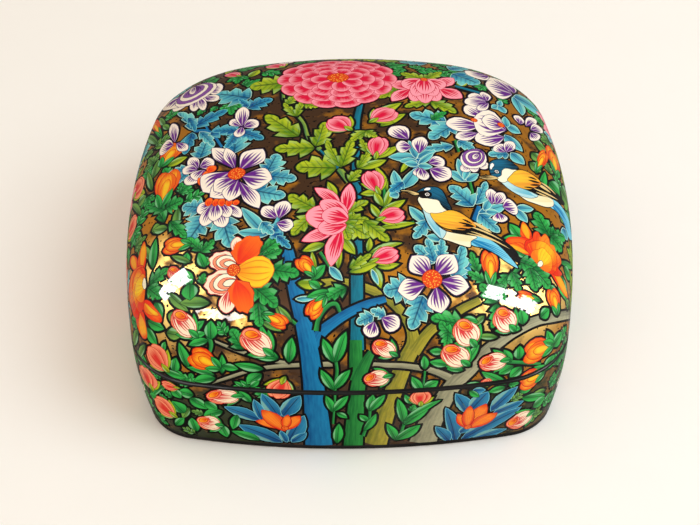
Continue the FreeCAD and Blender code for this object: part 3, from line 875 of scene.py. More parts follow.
# Which strokes and outline each paint's petals take
WARM_STROKES = {
    "blush": (STREAK, "petal"), "red": (PETAL, "fan"), "blaze": (EDGED, "pointed"),
    "yellow": (RIBBED, "petal"),
}
BLUSH_FRILLS = [(237, 263, 210, 259, 10), (237, 279, 205, 286, 12)]
# The shell flowers by the two edges: paint, strokes, the axis they follow and the outline
SHELL_PATCHES = [
    ("orange", EDGED, (142, 271, 144, 242, 4), [
        (144, 242), (146, 249), (146, 257), (145, 265), (143, 271), (139, 271), (138, 262), (140, 252)]),
    ("orange", EDGED, (137, 271, 131, 257, 4), [
        (131, 257), (134, 256), (137, 259), (138, 266), (137, 272), (132, 268), (130, 262)]),
    ("red", EDGED, (144, 303, 162, 320, 6), [
        (144, 301), (149, 301), (155, 308), (161, 316), (161, 322), (154, 321), (147, 316), (143, 308)]),
    ("yellow", EDGED, (145, 304, 159, 315, 4), [
        (145, 303), (151, 308), (159, 315), (151, 315), (145, 311)]),
    ("orange", EDGED, (140, 313, 145, 338, 5), [
        (137, 312), (143, 312), (145, 321), (147, 336), (143, 338), (138, 328), (136, 318)]),
    ("blaze", EDGED, (145, 286, 129, 288, 24), [
        (144, 269), (138, 267), (132, 274), (129, 285), (129, 296), (131, 306), (134, 316), (138, 318),
        (140, 311), (144, 303)]),
    ("orange", EDGED, (145, 285, 132, 288, 20), [
        (145, 272), (140, 268), (134, 275), (132, 287), (134, 299), (138, 311), (142, 311), (144, 300)]),
    ("yellow", EDGED, (146, 286, 134, 289, 13), [
        (145, 277), (141, 275), (137, 281), (134, 290), (136, 298), (140, 302), (144, 299)]),
    ("cream", PLAIN, (144, 289, 144, 277, 2), [
        (144, 278), (145.5, 280), (146, 287), (144, 289), (142.5, 284)]),
    ("orange", EDGED, (529, 241, 523, 222, 5), [
        (523, 222), (527, 226), (531, 233), (531, 241), (526, 241), (521, 235), (521, 228)]),
    ("red", EDGED, (531, 242, 506, 242, 5), [
        (506, 243), (508, 238), (516, 237), (525, 238), (531, 241), (527, 248), (520, 247), (512, 245)]),
    ("orange", EDGED, (530, 254, 507, 245, 4), [
        (507, 245.5), (514, 243), (521, 243), (527, 247), (531, 255), (524, 253.5), (515, 249)]),
    ("orange", EDGED, (553, 272, 568, 297, 5), [
        (551, 272), (557, 271), (561, 278), (565, 286), (568, 298), (563, 293), (558, 285)]),
    ("blaze", EDGED, (540, 262, 557, 240, 22), [
        (528, 252), (525, 246), (526, 241), (532, 239), (534, 233), (538, 232), (541, 237), (545, 234),
        (549, 239), (550, 244), (554, 246), (556, 252), (560, 257), (561, 263), (558, 268), (562, 274),
        (558, 276), (552, 273)]),
    ("orange", EDGED, (538, 264, 550, 242, 17), [
        (531, 256), (527, 250), (527, 245), (532, 242), (539, 241), (546, 243), (551, 248), (556, 255),
        (557, 263), (556, 270), (552, 274), (546, 271), (540, 266)]),
    ("yellow", EDGED, (539, 266, 549, 247, 12), [
        (534, 260), (531, 256), (533, 251), (538, 249.5), (543, 248), (547, 252), (551, 257), (552, 264),
        (551, 270), (547, 272), (541, 268)]),
    ("cream", PLAIN, (538, 265, 543, 261, 3), [
        (538, 263), (541, 260.5), (543, 263.5), (541, 266.5), (538, 266)]),
]
# The large pink flower: its middle and a point of its rim, and the share that its crimson floor covers
PEONY, PEONY_FLOOR = ((338, 79), (395, 81)), 0.94
# Its rings: petals, inner and outer share of the radius, half width's share, paint and shape
PEONY_RINGS = [
    (14, 0.7, 1.02, 0.24, "pink", "round"), (11, 0.52, 0.84, 0.24, "pink", "round"),
    (9, 0.3, 0.66, 0.22, "pink", "round"), (7, 0.08, 0.48, 0.17, "pink", "round"),
]
# Small red petals that stand in rows beside the purple sprays on the left
TUFTS = [
    (208, 206, 210, 198, 3.5), (215, 206, 216, 199, 3.5), (222, 206, 222, 198, 3.5),
    (229, 206, 229, 199, 3.5), (235, 205, 237, 200, 3), (204, 186, 199, 178, 3.5),
    (205, 180, 207, 171, 4), (208, 172, 215, 166, 3.5),
]
# Stippled middles of flowers, and their half widths
POLLEN = [((338, 77.5), 11), ((424, 79.5), 3.5), ((233.5, 270), 6.5), ((285, 428), 3.5), ((468, 427), 3.5),
          ((474, 120), 3), ((501, 125), 3)]
# Trunks and boughs: paint, order, and each point's x, y and the width there
BRANCHES = [
    ("grey bark", 10, [(212, 383, 2), (230, 377, 3), (249, 371, 3), (270, 367, 3.5), (300, 365, 4),
                       (335, 364, 5)]),
    ("grey bark", 10.1, [(214, 341, 2), (236, 350, 3), (256, 356, 3.5), (275, 361, 3.5), (292, 364, 3.5)]),
    ("lime bark", 10.2, [(283, 92, 3), (285, 103, 3), (297, 115, 3), (304, 124, 3), (310, 140, 4),
                         (330, 158, 5), (349, 181, 6)]),
    ("olive bark", 10.4, [(300, 281, 7), (318, 284, 9), (335, 283, 10), (352, 284, 9), (366, 288, 8),
                          (384, 296, 9), (400, 310, 9), (411, 328, 10), (413, 345, 14), (405, 362, 16),
                          (396, 385, 17), (386, 412, 18), (374, 446, 24)]),
    ("olive bark", 10.5, [(480, 300, 7), (462, 309, 8), (442, 322, 9), (428, 333, 10), (414, 352, 12)]),
    ("grey bark", 11, [(355, 363, 4), (380, 365, 4.5), (405, 366, 5), (430, 370, 5.5), (446, 376, 7),
                       (460, 384, 10)]),
    ("grey bark", 11.2, [(572, 314, 8), (555, 317, 9), (536, 321, 9), (515, 331, 10), (500, 341, 11),
                         (484, 354, 12), (470, 369, 13), (455, 383, 15), (441, 404, 18), (430, 424, 22),
                         (422, 446, 27)]),
    ("teal bark", 12, [(361, 101, 5), (357, 120, 6), (356, 140, 7), (356, 170, 8), (357, 200, 9),
                       (357, 240, 10), (357, 280, 12), (357, 320, 12), (357, 350, 14)]),
    ("green bark", 12.2, [(372, 352, 7), (366, 362, 10), (360, 376, 13), (357, 395, 15), (355, 420, 17),
                          (353, 448, 19)]),
    ("green bark", 12.1, [(356, 340, 12), (356, 360, 13), (357, 380, 14)]),
    ("blue bark", 13, [(386, 299, 6), (368, 304, 8), (350, 312, 9), (334, 322, 10), (320, 334, 11),
                       (310, 352, 10)]),
    ("blue bark", 13.2, [(270, 222, 6), (276, 234, 10), (286, 248, 12), (291, 268, 13), (297, 295, 15),
                         (303, 320, 16), (309, 350, 18), (313, 380, 20), (316, 410, 23), (319, 446, 27)]),
]
# Thin stems over the outlines: paint, and each point's x, y and the width there
STEMS = [
    ("green", [(336, 362, 3), (337, 372, 3), (335, 388, 3), (335, 400, 2), (334, 412, 2), (333, 424, 2)]),
    ("green", [(370, 410, 3), (369, 420, 2.5), (363, 436, 3)]),
    ("green", [(404, 424, 3), (400, 436, 3)]),
    ("green", [(425, 371, 2), (423, 389, 2)]),
    ("green", [(205, 331, 3), (211, 343, 4), (210, 352, 3)]),
    ("green", [(500, 362, 3), (514, 362, 3.5), (541, 364, 2.5)]),
    ("green", [(470, 182, 2.5), (475, 204, 3)]),
    ("green", [(414, 222, 2.5), (400, 226, 3), (384, 228, 3)]),
    ("green", [(384, 188, 2.5), (385, 210, 3)]),
    ("green", [(316, 331, 5), (319, 318, 4), (328, 306, 4), (336, 304, 4), (340, 312, 3)]),
    ("green", [(320, 252, 3), (330, 267, 3)]),
    ("green", [(276, 306, 3), (284, 314, 3), (296, 324, 3)]),
    ("blue bark", [(194, 131, 2.5), (210, 132, 3), (222, 147, 2.5)]),
    ("blue bark", [(210, 134, 2.5), (205, 124, 2)]),
    ("blue bark", [(418, 140, 3), (417, 165, 4), (402, 186, 4), (392, 196, 5)]),
    ("blue bark", [(479, 206, 4), (476, 218, 7), (473, 226, 5)]),
    ("teal bark", [(455, 86, 2), (480, 93, 2)]),
    ("cyan", [(271, 240, 3), (275, 226, 4), (281, 212, 3)]),
    ("green", [(455, 140, 2.5), (459, 152, 2.5)]),
    ("green", [(512, 276, 4), (519, 268, 4), (531, 262, 4)]),
    ("green", [(189, 244, 3), (203, 250, 3)]),
    ("green", [(344, 290, 3), (330, 291, 3), (312, 299, 2.5)]),
    ("teal bark", [(320, 150, 2), (338, 168, 3)]),
]

# The two birds: per part its paint, strokes, level, the axis its strokes follow and its outline
BIRDS = [
    [
        ("black", PLAIN, 0.2, (450, 226, 516, 250, 8), [
            (446, 222), (458, 216), (470, 219), (482, 227), (494, 235), (506, 243), (516, 252), (519, 262),
            (508, 256), (496, 247), (484, 241), (470, 237), (456, 233)]),
        ("tail", STREAK, 0.3, (466, 238, 518, 263, 6), [
            (464, 236), (476, 236), (488, 239), (499, 246), (509, 256), (518, 268), (507, 262), (496, 254),
            (484, 248), (472, 245)]),
        ("cream", PETAL, 0.4, (476, 241, 436, 228, 8), [
            (437, 229), (441, 229), (447, 231.5), (456, 233.5), (466, 235), (477, 237), (471, 241),
            (470, 247), (460, 244.5), (450, 241), (442, 238)]),
        ("sky", PETAL, 0.5, (441, 237, 425, 208, 5), [
            (423, 208), (431, 213), (433, 219), (437, 225), (442, 229), (446, 232), (442, 238.5),
            (436, 234), (431, 228), (427, 221), (424.5, 214)]),
        ("cream", PLAIN, 0.6, (420, 200, 447, 211, 7), [
            (418, 199.5), (421, 196), (427, 197), (433, 198), (438, 200), (441, 205), (444, 208.5),
            (448, 211), (441, 213), (434, 213.5), (430, 213.5), (425, 211), (421, 205.5)]),
        ("wing", FEATHER, 0.7, (431, 218, 474, 224, 8), [
            (430.5, 213.5), (436, 213.5), (442, 212.5), (448, 210.5), (455, 211), (462, 214), (468, 218),
            (474, 223), (476, 227), (470, 228), (464, 230), (457, 229.5), (450, 229), (443, 227),
            (437, 223), (433, 219)]),
        ("navy", FEATHER, 0.8, (424, 190, 450, 204, 8), [
            (417, 193), (421, 189.5), (426, 187.5), (432, 187), (438, 188), (442.5, 191.5), (445.5, 197),
            (448, 203), (451, 209), (447, 210), (444, 207.5), (441, 203), (438, 200), (433, 199),
            (427, 198), (421, 197.5)]),
        ("black", PLAIN, 0.84, (418, 194, 431, 195, 3), [
            (417, 193.5), (421, 191.5), (427, 191), (431, 193), (431, 196), (427, 198), (421, 197)]),
        ("white", PLAIN, 0.85, (424, 189, 431, 189, 2), [
            (424, 190), (426, 188), (430, 187.8), (430, 189.6), (427, 190.2)]),
        ("feather", STREAK, 0.87, (401, 191, 419, 195, 2), [
            (401, 190.5), (407, 190.5), (413, 191.5), (419, 194), (414, 195), (408, 192.5)]),
    ],
    [
        ("black", PLAIN, 0.2, (520, 184, 562, 200, 7), [
            (514, 184), (522, 178), (532, 175), (541, 182), (552, 190), (561, 198), (564, 204), (554, 202),
            (544, 198), (533, 195), (522, 191)]),
        ("tail", STREAK, 0.3, (549, 201, 571, 238, 5), [
            (545, 198), (554, 200), (560, 205), (565, 212), (569, 221), (571, 232), (572, 240), (569, 238),
            (566, 229), (562, 219), (556, 211), (549, 206)]),
        ("cream", PETAL, 0.4, (553, 202, 518, 194, 6), [
            (516, 192), (527, 194), (534, 194.5), (541, 196), (548, 197.5), (553, 200.5), (553, 206),
            (547, 207), (541, 205.5), (534, 203), (526, 200)]),
        ("sky", PETAL, 0.5, (534, 196, 502, 182, 5), [
            (501, 181), (506, 180), (512, 183), (518, 187), (526, 190), (533, 193), (538, 196), (533, 198),
            (526, 197.5), (519, 195), (512, 191), (506, 186.5)]),
        ("cream", PLAIN, 0.6, (500, 176, 514, 174, 7), [
            (500, 170), (504, 167.5), (509, 168), (514, 169.5), (518, 171), (514, 176), (508, 180.5),
            (503, 182.5), (498, 180), (498, 176)]),
        ("wing", FEATHER, 0.7, (508, 180, 541, 181, 8), [
            (507.5, 180), (511, 175.5), (515, 171.5), (520, 170), (526, 171.3), (532, 174.5), (538, 179),
            (541, 184), (536, 187), (530, 189), (523, 188.5), (516, 186), (511, 183)]),
        ("navy", FEATHER, 0.8, (494, 166, 517, 167, 8), [
            (489, 167), (490.5, 162.5), (495, 160), (502, 159.5), (508, 160.5), (513, 163.5), (518, 168),
            (513, 169.5), (508, 168.3), (504, 168.5), (501.5, 171), (501, 175), (497, 177), (492, 175.5),
            (490, 171)]),
        ("white", PLAIN, 0.85, (490, 168, 494, 163, 2), [
            (490, 168), (490.5, 164.5), (492.5, 163), (494, 165), (492.5, 167.5), (491.2, 169.5)]),
        ("feather", STREAK, 0.87, (479, 177, 498, 178, 2), [
            (479, 177), (486, 175.8), (493, 176), (498, 178.3), (492, 179.5), (485, 179)]),
    ],
]
# The middle of each bird's eye
BIRD_EYES = [(427.3, 194.3), (496.8, 171.6)]
# The eye from its rim to its pupil: radius in mm, paint and level
EYE_RINGS = [(0.85, "black", 0.91), (0.62, "white", 0.92), (0.42, "black", 0.93), (0.14, "white", 0.94)]
# Pale edges of their long feathers, and the dark streaks between them
BIRD_FEATHERS = [
    (468, 226, 503, 241, 0.8), (470, 231, 510, 249, 0.8), (473, 222, 492, 233, 1.6),
    (466, 233, 500, 243, 0.7), (537, 184, 551, 193, 1.2), (533, 188, 558, 200, 0.8),
    (536, 192, 552, 199, 0.7), (540, 182, 556, 195, 0.7),
]
BIRD_STREAKS = [
    (474, 226, 458, 222, 1.0), (475, 227, 462, 226, 1.0), (472, 224, 462, 219, 0.9),
    (470, 229, 455, 228, 0.8), (540, 183, 528, 180, 1.0), (540, 185, 530, 185, 1.0),
    (537, 180, 528, 177, 0.8), (534, 188, 524, 187, 0.8),
]
# Paints of the leaves, from the back to the front, with their rows of lobed leaves and of blades
LEAF_ROWS = [
    ("olive", [], OLIVE_BLADES),
    ("emerald", EMERALD_LEAVES, EMERALD_BLADES),
    ("indigo", [], INDIGO_BLADES),
    ("blue", BLUE_LEAVES, []),
    ("cyan", CYAN_LEAVES, CYAN_BLADES),
    ("lime", LIME_LEAVES, LIME_BLADES),
]
# Motifs of several parts: their name, paint and rows
MOTIF_ROWS = [
    ("bud", "pink", PINK_BUDS),
    ("bud", "coral", CORAL_BUDS),
    ("tulip", "orange", ORANGE_TULIPS),
    ("rose", "blush", ROSES),
    ("frill", "blush", BLUSH_FRILLS),
]


def paint_front(artist):
    """What the photograph shows, from the branches at the back to the birds on top."""
    marks = artist.marks
    for paint, order, points in BRANCHES:
        artist.strip(points, paint, order)
    for paint, points in STEMS:
        artist.strip(points, paint, ORDERS["stem"])
    for paint, leaves, blades in LEAF_ROWS:
        artist.paint(marks(blades), "blade", paint, LEAF, ORDERS["blade"])
        artist.paint(marks(leaves), "leaf", paint, LEAF, ORDERS["leaf"], bend=0.16)
    for parts, paint, rows in MOTIF_ROWS:
        artist.motif(marks(rows), parts, paint, ORDERS["motif"])
    for paint, rows in WARM_PETALS.items():
        kind, shape = WARM_STROKES[paint]
        artist.paint(marks(rows), shape, paint, kind, ORDERS["warm petal"])
    for number, (paint, kind, axis, points) in enumerate(SHELL_PATCHES):
        order = ORDERS["shell"] + number * PATCH_STEP
        artist.patch(points, axis, paint, kind, order, halo=artist.painting.line)
    artist.paint(marks(PURPLE_SPRAYS), "petal", "purple", STREAK, ORDERS["spray"])
    for level, (paint, rows) in enumerate(PURPLE_CUPS):
        order = ORDERS["round cup"] + level * CUP_STEP
        artist.paint(marks(rows), "round", paint, STREAK, order, step=CUP_MARK_STEP)
    artist.paint(marks(TUFTS), "round", "red", STREAK, ORDERS["tuft"])
    for centre, half, petals in PURPLE_FLOWERS:
        artist.paint(marks(petals), "cusp", "purple", STREAK, ORDERS["purple petal"])
        artist.centre(centre, half, ORDERS["purple middle"])
    artist.paint(marks(LOTUS_PETALS), "pointed", "pink", STREAK, ORDERS["lotus petal"])
    artist.paint(marks(LOTUS_CUPS), "round", "pink", STREAK, ORDERS["lotus cup"])
    middle, radius = seen(np.array([PEONY[0]])), artist.reach(*PEONY)
    artist.disc(middle, PEONY_FLOOR * radius, "crimson", PLAIN, ORDERS["peony floor"])
    artist.rosette(middle, radius, PEONY_RINGS, ORDERS["peony"])
    for centre, half in POLLEN:
        artist.centre(centre, half, ORDERS["pollen"])
    paint_birds(artist)


def paint_birds(artist):
    """Two birds from their outlines, then the streaks, feather edges and eyes."""
    for number, parts in enumerate(BIRDS):
        order = ORDERS["bird"] + number
        for paint, kind, level, axis, points in parts:
            artist.patch(points, axis, paint, kind, order + level, under=order)
        eye = seen(np.array([BIRD_EYES[number]]))
        for radius, paint, level in EYE_RINGS:
            artist.disc(eye, radius, paint, PLAIN, order + level, line=0)
    for rows, paint, name in ((BIRD_FEATHERS, "feather", "long feather"),
                              (BIRD_STREAKS, "black", "feather streak")):
        artist.paint(artist.marks(rows), "blade", paint, PLAIN, ORDERS[name], step=PART_STEP, line=0)


# Trees on the sides the photograph doesn't show: paint, order, the turn of the foot in degrees,
# then chart radius, sideways offset and width in mm
HIDDEN_TREES = [
    ("olive bark", 10.4, 76, [(112, -3, 7), (100, 1, 5), (90, 0, 4.4), (80, -4, 3.6), (70, -9, 2.8),
                              (62, -11, 2)]),
    ("grey bark", 11.2, 62, [(112, 0, 7.5), (102, 2, 5.6), (92, 4, 4.6), (82, 1, 3.6), (74, -6, 3),
                             (68, -16, 2.4)]),
    ("green bark", 12.2, 90, [(112, 0, 5.6), (100, -1, 4.8), (90, 1, 4), (80, 0, 3.6)]),
    ("teal bark", 12, 90, [(86, 1, 4), (76, 0, 3.4), (66, 1, 3), (56, 0, 2.4)]),
    ("blue bark", 13.2, 108, [(112, 4, 7.6), (102, 2, 6), (92, 0, 5), (82, 3, 4.2), (72, 8, 3.6),
                              (64, 12, 2.6)]),
    ("lime bark", 10.2, 124, [(112, 0, 4), (100, 2, 3.2), (90, -1, 2.8), (80, -4, 2.2), (72, -4, 1.6)]),
    ("blue bark", 13.2, 172, [(112, 0, 6.6), (102, -2, 5), (92, 1, 4.4), (84, 4, 3.6), (76, 3, 2.6)]),
    ("olive bark", 10.4, 192, [(112, 2, 6), (100, 0, 4.6), (90, -3, 3.8), (82, -7, 3)]),
    ("teal bark", 12, 152, [(112, -2, 5), (100, 1, 4.2), (90, 0, 3.6), (80, -4, 3), (72, -5, 2)]),
    ("grey bark", 11.2, 12, [(112, -3, 6.6), (102, 0, 5.4), (92, 0, 4.4), (84, 4, 3.6), (76, 6, 2.6)]),
    ("teal bark", 12, -6, [(112, 2, 5.4), (100, 0, 4.4), (90, 3, 3.8), (82, 4, 3)]),
    ("blue bark", 13.2, 34, [(112, 0, 6), (102, 3, 5), (92, 2, 4.2), (84, -3, 3.4), (76, -4, 2.4)]),
]
# What grows there, from large to small: how many tries, the length and half width in mm
HIDDEN_FLOWERS = [
    ("star", "purple", 220, 17.0, 8.5), ("shells", "red", 160, 10.0, 8.0),
    ("lotus", "pink", 260, 13.0, 6.5), ("star", "purple", 220, 13.0, 6.5),
    ("rose", "blush", 260, 7.6, 4.0), ("tulip", "orange", 420, 6.8, 3.4),
    ("bud", "pink", 420, 6.6, 3.3), ("bud", "coral", 320, 5.8, 2.9), ("spray", "purple", 420, 7.0, 4.4),
    ("rose", "blush", 260, 6.0, 3.2), ("tulip", "orange", 300, 4.6, 2.3),
]
# The leaves there, and those among the leaves low on the sides that are shown: shape, tries, length
# and half width in mm, and the share of a leaf that may lie over others
HIDDEN_LEAVES = [
    ("trefoil", 900, 8.0, 4.4, 0.12), ("leaf", 2200, 7.6, 2.8, 0.12), ("sprig", 1600, 8.0, 3.4, 0.12),
    ("leaf", 2600, 5.6, 2.1, 0.1), ("sprig", 2600, 5.6, 2.5, 0.12), ("leaf", 3000, 4.2, 1.6, 0.08),
    ("blade", 9000, 3.4, 1.1, 0.06),
]
SHOWN_LEAVES = [
    ("trefoil", 900, 6.0, 3.4, 0.2), ("sprig", 900, 6.6, 3.0, 0.24), ("leaf", 1200, 4.6, 1.9, 0.1),
    ("sprig", 1500, 4.4, 2.0, 0.12), ("leaf", 1500, 3.2, 1.3, 0.04),
]
# Ground that stays bare among them, in pixels: the middle and the half width and height
BARE_GROUND = [
    (212, 314, 17, 7), (240, 316, 13, 7), (218, 303, 5, 6), (200, 292, 5, 7), (168, 306, 5, 6),
    (150, 232, 6, 9), (158, 250, 5, 13), (176, 262, 7, 4), (199, 264, 10, 5), (545, 302, 8, 7),
    (483, 312, 7, 7), (515, 262, 7, 6),
]
# The leaves' paints there, by the height of a slow wave over the chart
HIDDEN_PAINTS = (("emerald", -math.inf, 0.35), ("cyan", 0.35, 0.95), ("lime", 0.95, math.inf))
SHOWN_PAINTS = (("emerald", -math.inf, 0.9), ("olive", 0.9, math.inf))
# Petals fanned from one point: shape, turns, then as shares of the motif's length the point's place,
# the petals' reach and where they start; and their sideways share and half width's share
UPWARD_TURNS = (-1.25, 1.25, -0.65, 0.65, 0.0)
FANS = {
    "star": ("petal", (-2.5, -1.25, 0.0, 1.25, 2.5), 0.5, 0.5, 0.1, 1.0, 0.34),
    "lotus": ("pointed", UPWARD_TURNS, 0.04, 0.95, 0.0, 0.9, 0.24),
    "spray": ("petal", UPWARD_TURNS, 0.04, 0.95, 0.0, 0.9, 0.24),
}
# How squarely the box faces the camera, as a cosine: where it is hidden, where the grown painting
# meets the photographed one and by how much they overlap, and what is seen at a slant
HIDDEN_FACING, FACING_LIMIT, FACING_OVERLAP, SLANTED_FACING = -0.02, 0.22, 0.05, 0.42
# Chart sizes in mm: a cell of free ground, the bare crown and foot, and the shown leaves' front left
CELL = 0.7
BARE_CROWN, BARE_FOOT = 26.0, 0.8
SHOWN_LEFT, SHOWN_NEAR = -26, 24
# The share of a shown flower's or leaf's reach that the small leaves keep off, and the least and most
# of a grown motif's given size
SHOWN_TAKEN, GROWN_SIZES = 0.74, (0.85, 1.1)
STAR_MIDDLE = 0.13
# Samples across bare ground and across a grown motif, and from a shown shape's middle to its edge
BARE_SAMPLES, SPOT_SAMPLES, SHAPE_SAMPLES = 15, 9, 9
# Seeds of the two growths, and how far a flower or a leaf may lean away from the crown, in radians
HIDDEN_SEED, SHOWN_SEED = 7, 11
FLOWER_LEAN, LEAF_LEAN = 1.6, 2.2


class Growth:
    """Seeded growth where the layout is bare: motifs take free ground, none over another."""

    def __init__(self, artist, seed, shown):
        self.artist = artist
        self.random = np.random.default_rng(seed)
        self.count = int(2 * FOOT_RADIUS / CELL) + 2
        step = (np.arange(self.count) + 0.5) * CELL - FOOT_RADIUS
        grid = np.stack(np.meshgrid(step, step, indexing="ij"), -1)
        radius = np.hypot(grid[..., 0], grid[..., 1])
        back = camera_axes()[3] - on_box(grid)
        facing = (outward(grid) * back).sum(-1) / np.linalg.norm(back, axis=-1)
        self.hidden = facing < HIDDEN_FACING
        above_foot = radius < FOOT_RADIUS - BARE_FOOT
        self.free = (facing < FACING_LIMIT) & above_foot
        if shown:
            left = (grid[..., 0] < SHOWN_LEFT) & (grid[..., 1] < SHOWN_NEAR)
            sides = left | (facing < SLANTED_FACING) | (radius > SEAM_RADIUS)
            self.free = (facing >= FACING_LIMIT - FACING_OVERLAP) & above_foot & sides
        bare = np.array(BARE_GROUND, float)
        share = np.linspace(-1, 1, BARE_SAMPLES)
        spread = np.stack(np.meshgrid(share, share), -1).reshape(-1, 2)
        spread = spread[np.hypot(*spread.T) <= 1]
        self.take(seen((bare[:, None, :2] + spread * bare[:, None, 2:]).reshape(-1, 2)))
        for shape, order in zip(artist.painting.chart, artist.painting.order):
            if order != OUTLINES:
                middle = shape.mean(0)
                reach = SHOWN_TAKEN if shown and order > OUTLINES else 1.0
                self.take(middle + (shape - middle) * np.linspace(0, reach, SHAPE_SAMPLES)[:, None, None])

    def cells(self, chart):
        """Rows and columns of the cells that chart points lie in."""
        cell = np.clip(((chart + FOOT_RADIUS) / CELL).astype(int), 0, self.count - 1)
        return cell[..., 0], cell[..., 1]

    def take(self, chart):
        """Chart points' cells are free no longer."""
        self.free[self.cells(chart)] = False

    def place(self, tries, length, half, spread, overlap=0.02, within=True):
        """Places whose ellipse lies on free ground, from as many tries, facing the crown by a spread."""
        share = np.linspace(-1, 1, SPOT_SAMPLES)
        run, side = (values.ravel() for values in np.meshgrid(share, share))
        inside = np.hypot(run, side) <= 1
        run, side = run[inside], side[inside]
        radius = np.sqrt(self.random.uniform(BARE_CROWN ** 2, FOOT_RADIUS ** 2, tries))
        turn = self.random.uniform(-math.pi, math.pi, tries)
        middle = np.stack([radius * np.cos(turn), radius * np.sin(turn)], 1)
        lean = turn + math.pi + self.random.uniform(-spread, spread, tries)
        size = self.random.uniform(*GROWN_SIZES, tries)
        centre = Place(middle, middle + np.stack([np.cos(lean), np.sin(lean)], 1))
        reach = (size * length / 2)[:, None]
        base, tip = centre.at(-reach, 0 * reach)[:, 0], centre.at(reach, 0 * reach)[:, 0]
        spots = centre.at(run * reach, side * (size * half)[:, None])
        kept = []
        for index in np.nonzero((self.free & within)[self.cells(middle)])[0]:
            if self.free[self.cells(spots[index])].mean() > 1 - overlap:
                self.take(spots[index])
                kept.append(index)
        return Place(base[kept], tip[kept]), (size * half)[kept]

    def flowers(self):
        """Flowers on the hidden sides, from the large ones to the small."""
        for level, (parts, paint, tries, length, half) in enumerate(HIDDEN_FLOWERS):
            place, width = self.place(tries, length, half, FLOWER_LEAN, within=self.hidden)
            if not len(width):
                continue
            order = ORDERS["hidden flower"] + level * FLOWER_STEP
            if parts in PARTS:
                self.artist.motif((place, width), parts, paint, order, step=0)
            else:
                self.fan(place, parts, paint, order)

    def fan(self, place, parts, paint, order):
        """Petals fanned from each place: all round a stippled middle, or upward from its foot."""
        shape, turns, foot, reach, near, spread, half = FANS[parts]
        foot, reach = foot * place.length, reach * place.length
        for step, turn in enumerate(turns):
            ends = []
            for share in (near, 1.0):
                run = foot + reach * share * math.cos(turn)
                side = reach * share * math.sin(turn) * spread
                ends.append(place.at(run[:, None], side[:, None])[:, 0])
            petal = Place(*ends)
            level = order + PETAL_STEP + step * PETAL_STEP
            self.artist.painting.stamp(petal, petal.length * half, shape, paint, STREAK, level)
        if parts == "star":
            middle = place.at(foot[:, None], 0 * foot[:, None])[:, 0]
            self.artist.disc(middle, STAR_MIDDLE * place.length, "pollen", STIPPLE, order + MIDDLE_STEP)

    def leaves(self, rows, paints):
        """Leaves from the large ones to the small, their paint by a slow wave over the chart."""
        for level, (shape, tries, length, half, overlap) in enumerate(rows):
            place, width = self.place(tries, length, half, LEAF_LEAN, overlap)
            middle = place.base + place.along * place.length[:, None] / 2
            order = ORDERS["grown leaf"] - level * LEAF_STEP
            wave = np.sin(middle[:, 0] / 9 + 1) + np.sin(middle[:, 1] / 7) + 0.8 * (chance(middle) - 0.5)
            for paint, low, high in paints:
                pick = (wave >= low) & (wave < high)
                if not pick.any():
                    continue
                tips = place.base + place.along * place.length[:, None]
                marks = (Place(place.base[pick], tips[pick]), width[pick])
                if shape in PARTS:
                    self.artist.motif(marks, shape, paint, order, step=PART_STEP)
                else:
                    self.artist.paint(marks, shape, paint, LEAF, order, step=0, bend=0.2)


def paint_hidden(artist):
    """The sides the photograph doesn't show, in the manner of those it does."""
    for paint, order, turn, rows in HIDDEN_TREES:
        radius, offset, width = np.array(rows, float).T
        angle = math.radians(turn) + offset / radius
        points = np.stack([radius * np.cos(angle), radius * np.sin(angle), width], 1)
        artist.strip(points, paint, order, project=np.asarray, halo=HIDDEN_BRANCH_HALO)
    growth = Growth(artist, HIDDEN_SEED, shown=False)
    growth.flowers()
    growth.leaves(HIDDEN_LEAVES, HIDDEN_PAINTS)
    Growth(artist, SHOWN_SEED, shown=True).leaves(SHOWN_LEAVES, SHOWN_PAINTS)


# The cut chart for each width of outline, once it is made
CHARTS = {}
# Spacing in mm of the plain points between the motifs and on the inside, the points of each rim,
# how far plain points keep from a rim, and how near two points are taken for one
CHART_SPACING, LINING_SPACING = 2.4, 5.0
RIM_POINTS = 720
CHART_CLEARANCE, LINING_CLEARANCE = 0.3, 1.0
CHART_TOLERANCE, LINING_TOLERANCE = 1e-5, 1e-6
# How near in mm to a rim's radius its vertices are
RIM_REACH = 0.2
# The bake's map is the chart: its width over the chart's half width, and the place of what is inside
MAP_WIDTH, MAP_INSIDE = 2.04, 0.001
# Share of the painted skin's thickness at which its inside lies
SKIN_DEPTH = 0.9


def painted_chart(line):
    """The whole painting cut into triangles, made once for both halves of the box."""
    if line not in CHARTS:
        painting = Painting(line)
        artist = Artist(painting)
        paint_front(artist)
        paint_hidden(artist)
        CHARTS[line] = (*arrange(painting), painting)
    return CHARTS[line]


def loop_edges(start, count):
    """Edges of a closed loop of points that are numbered from a start."""
    return [(start + step, start + (step + 1) % count) for step in range(count)]


def clockwise(points, triangles):
    """Which triangles turn clockwise: twice their signed area is negative."""
    first, second, third = (points[triangles[:, corner]] for corner in range(3))
    one, other = second - first, third - first
    return one[:, 0] * other[:, 1] - other[:, 0] * one[:, 1] < 0


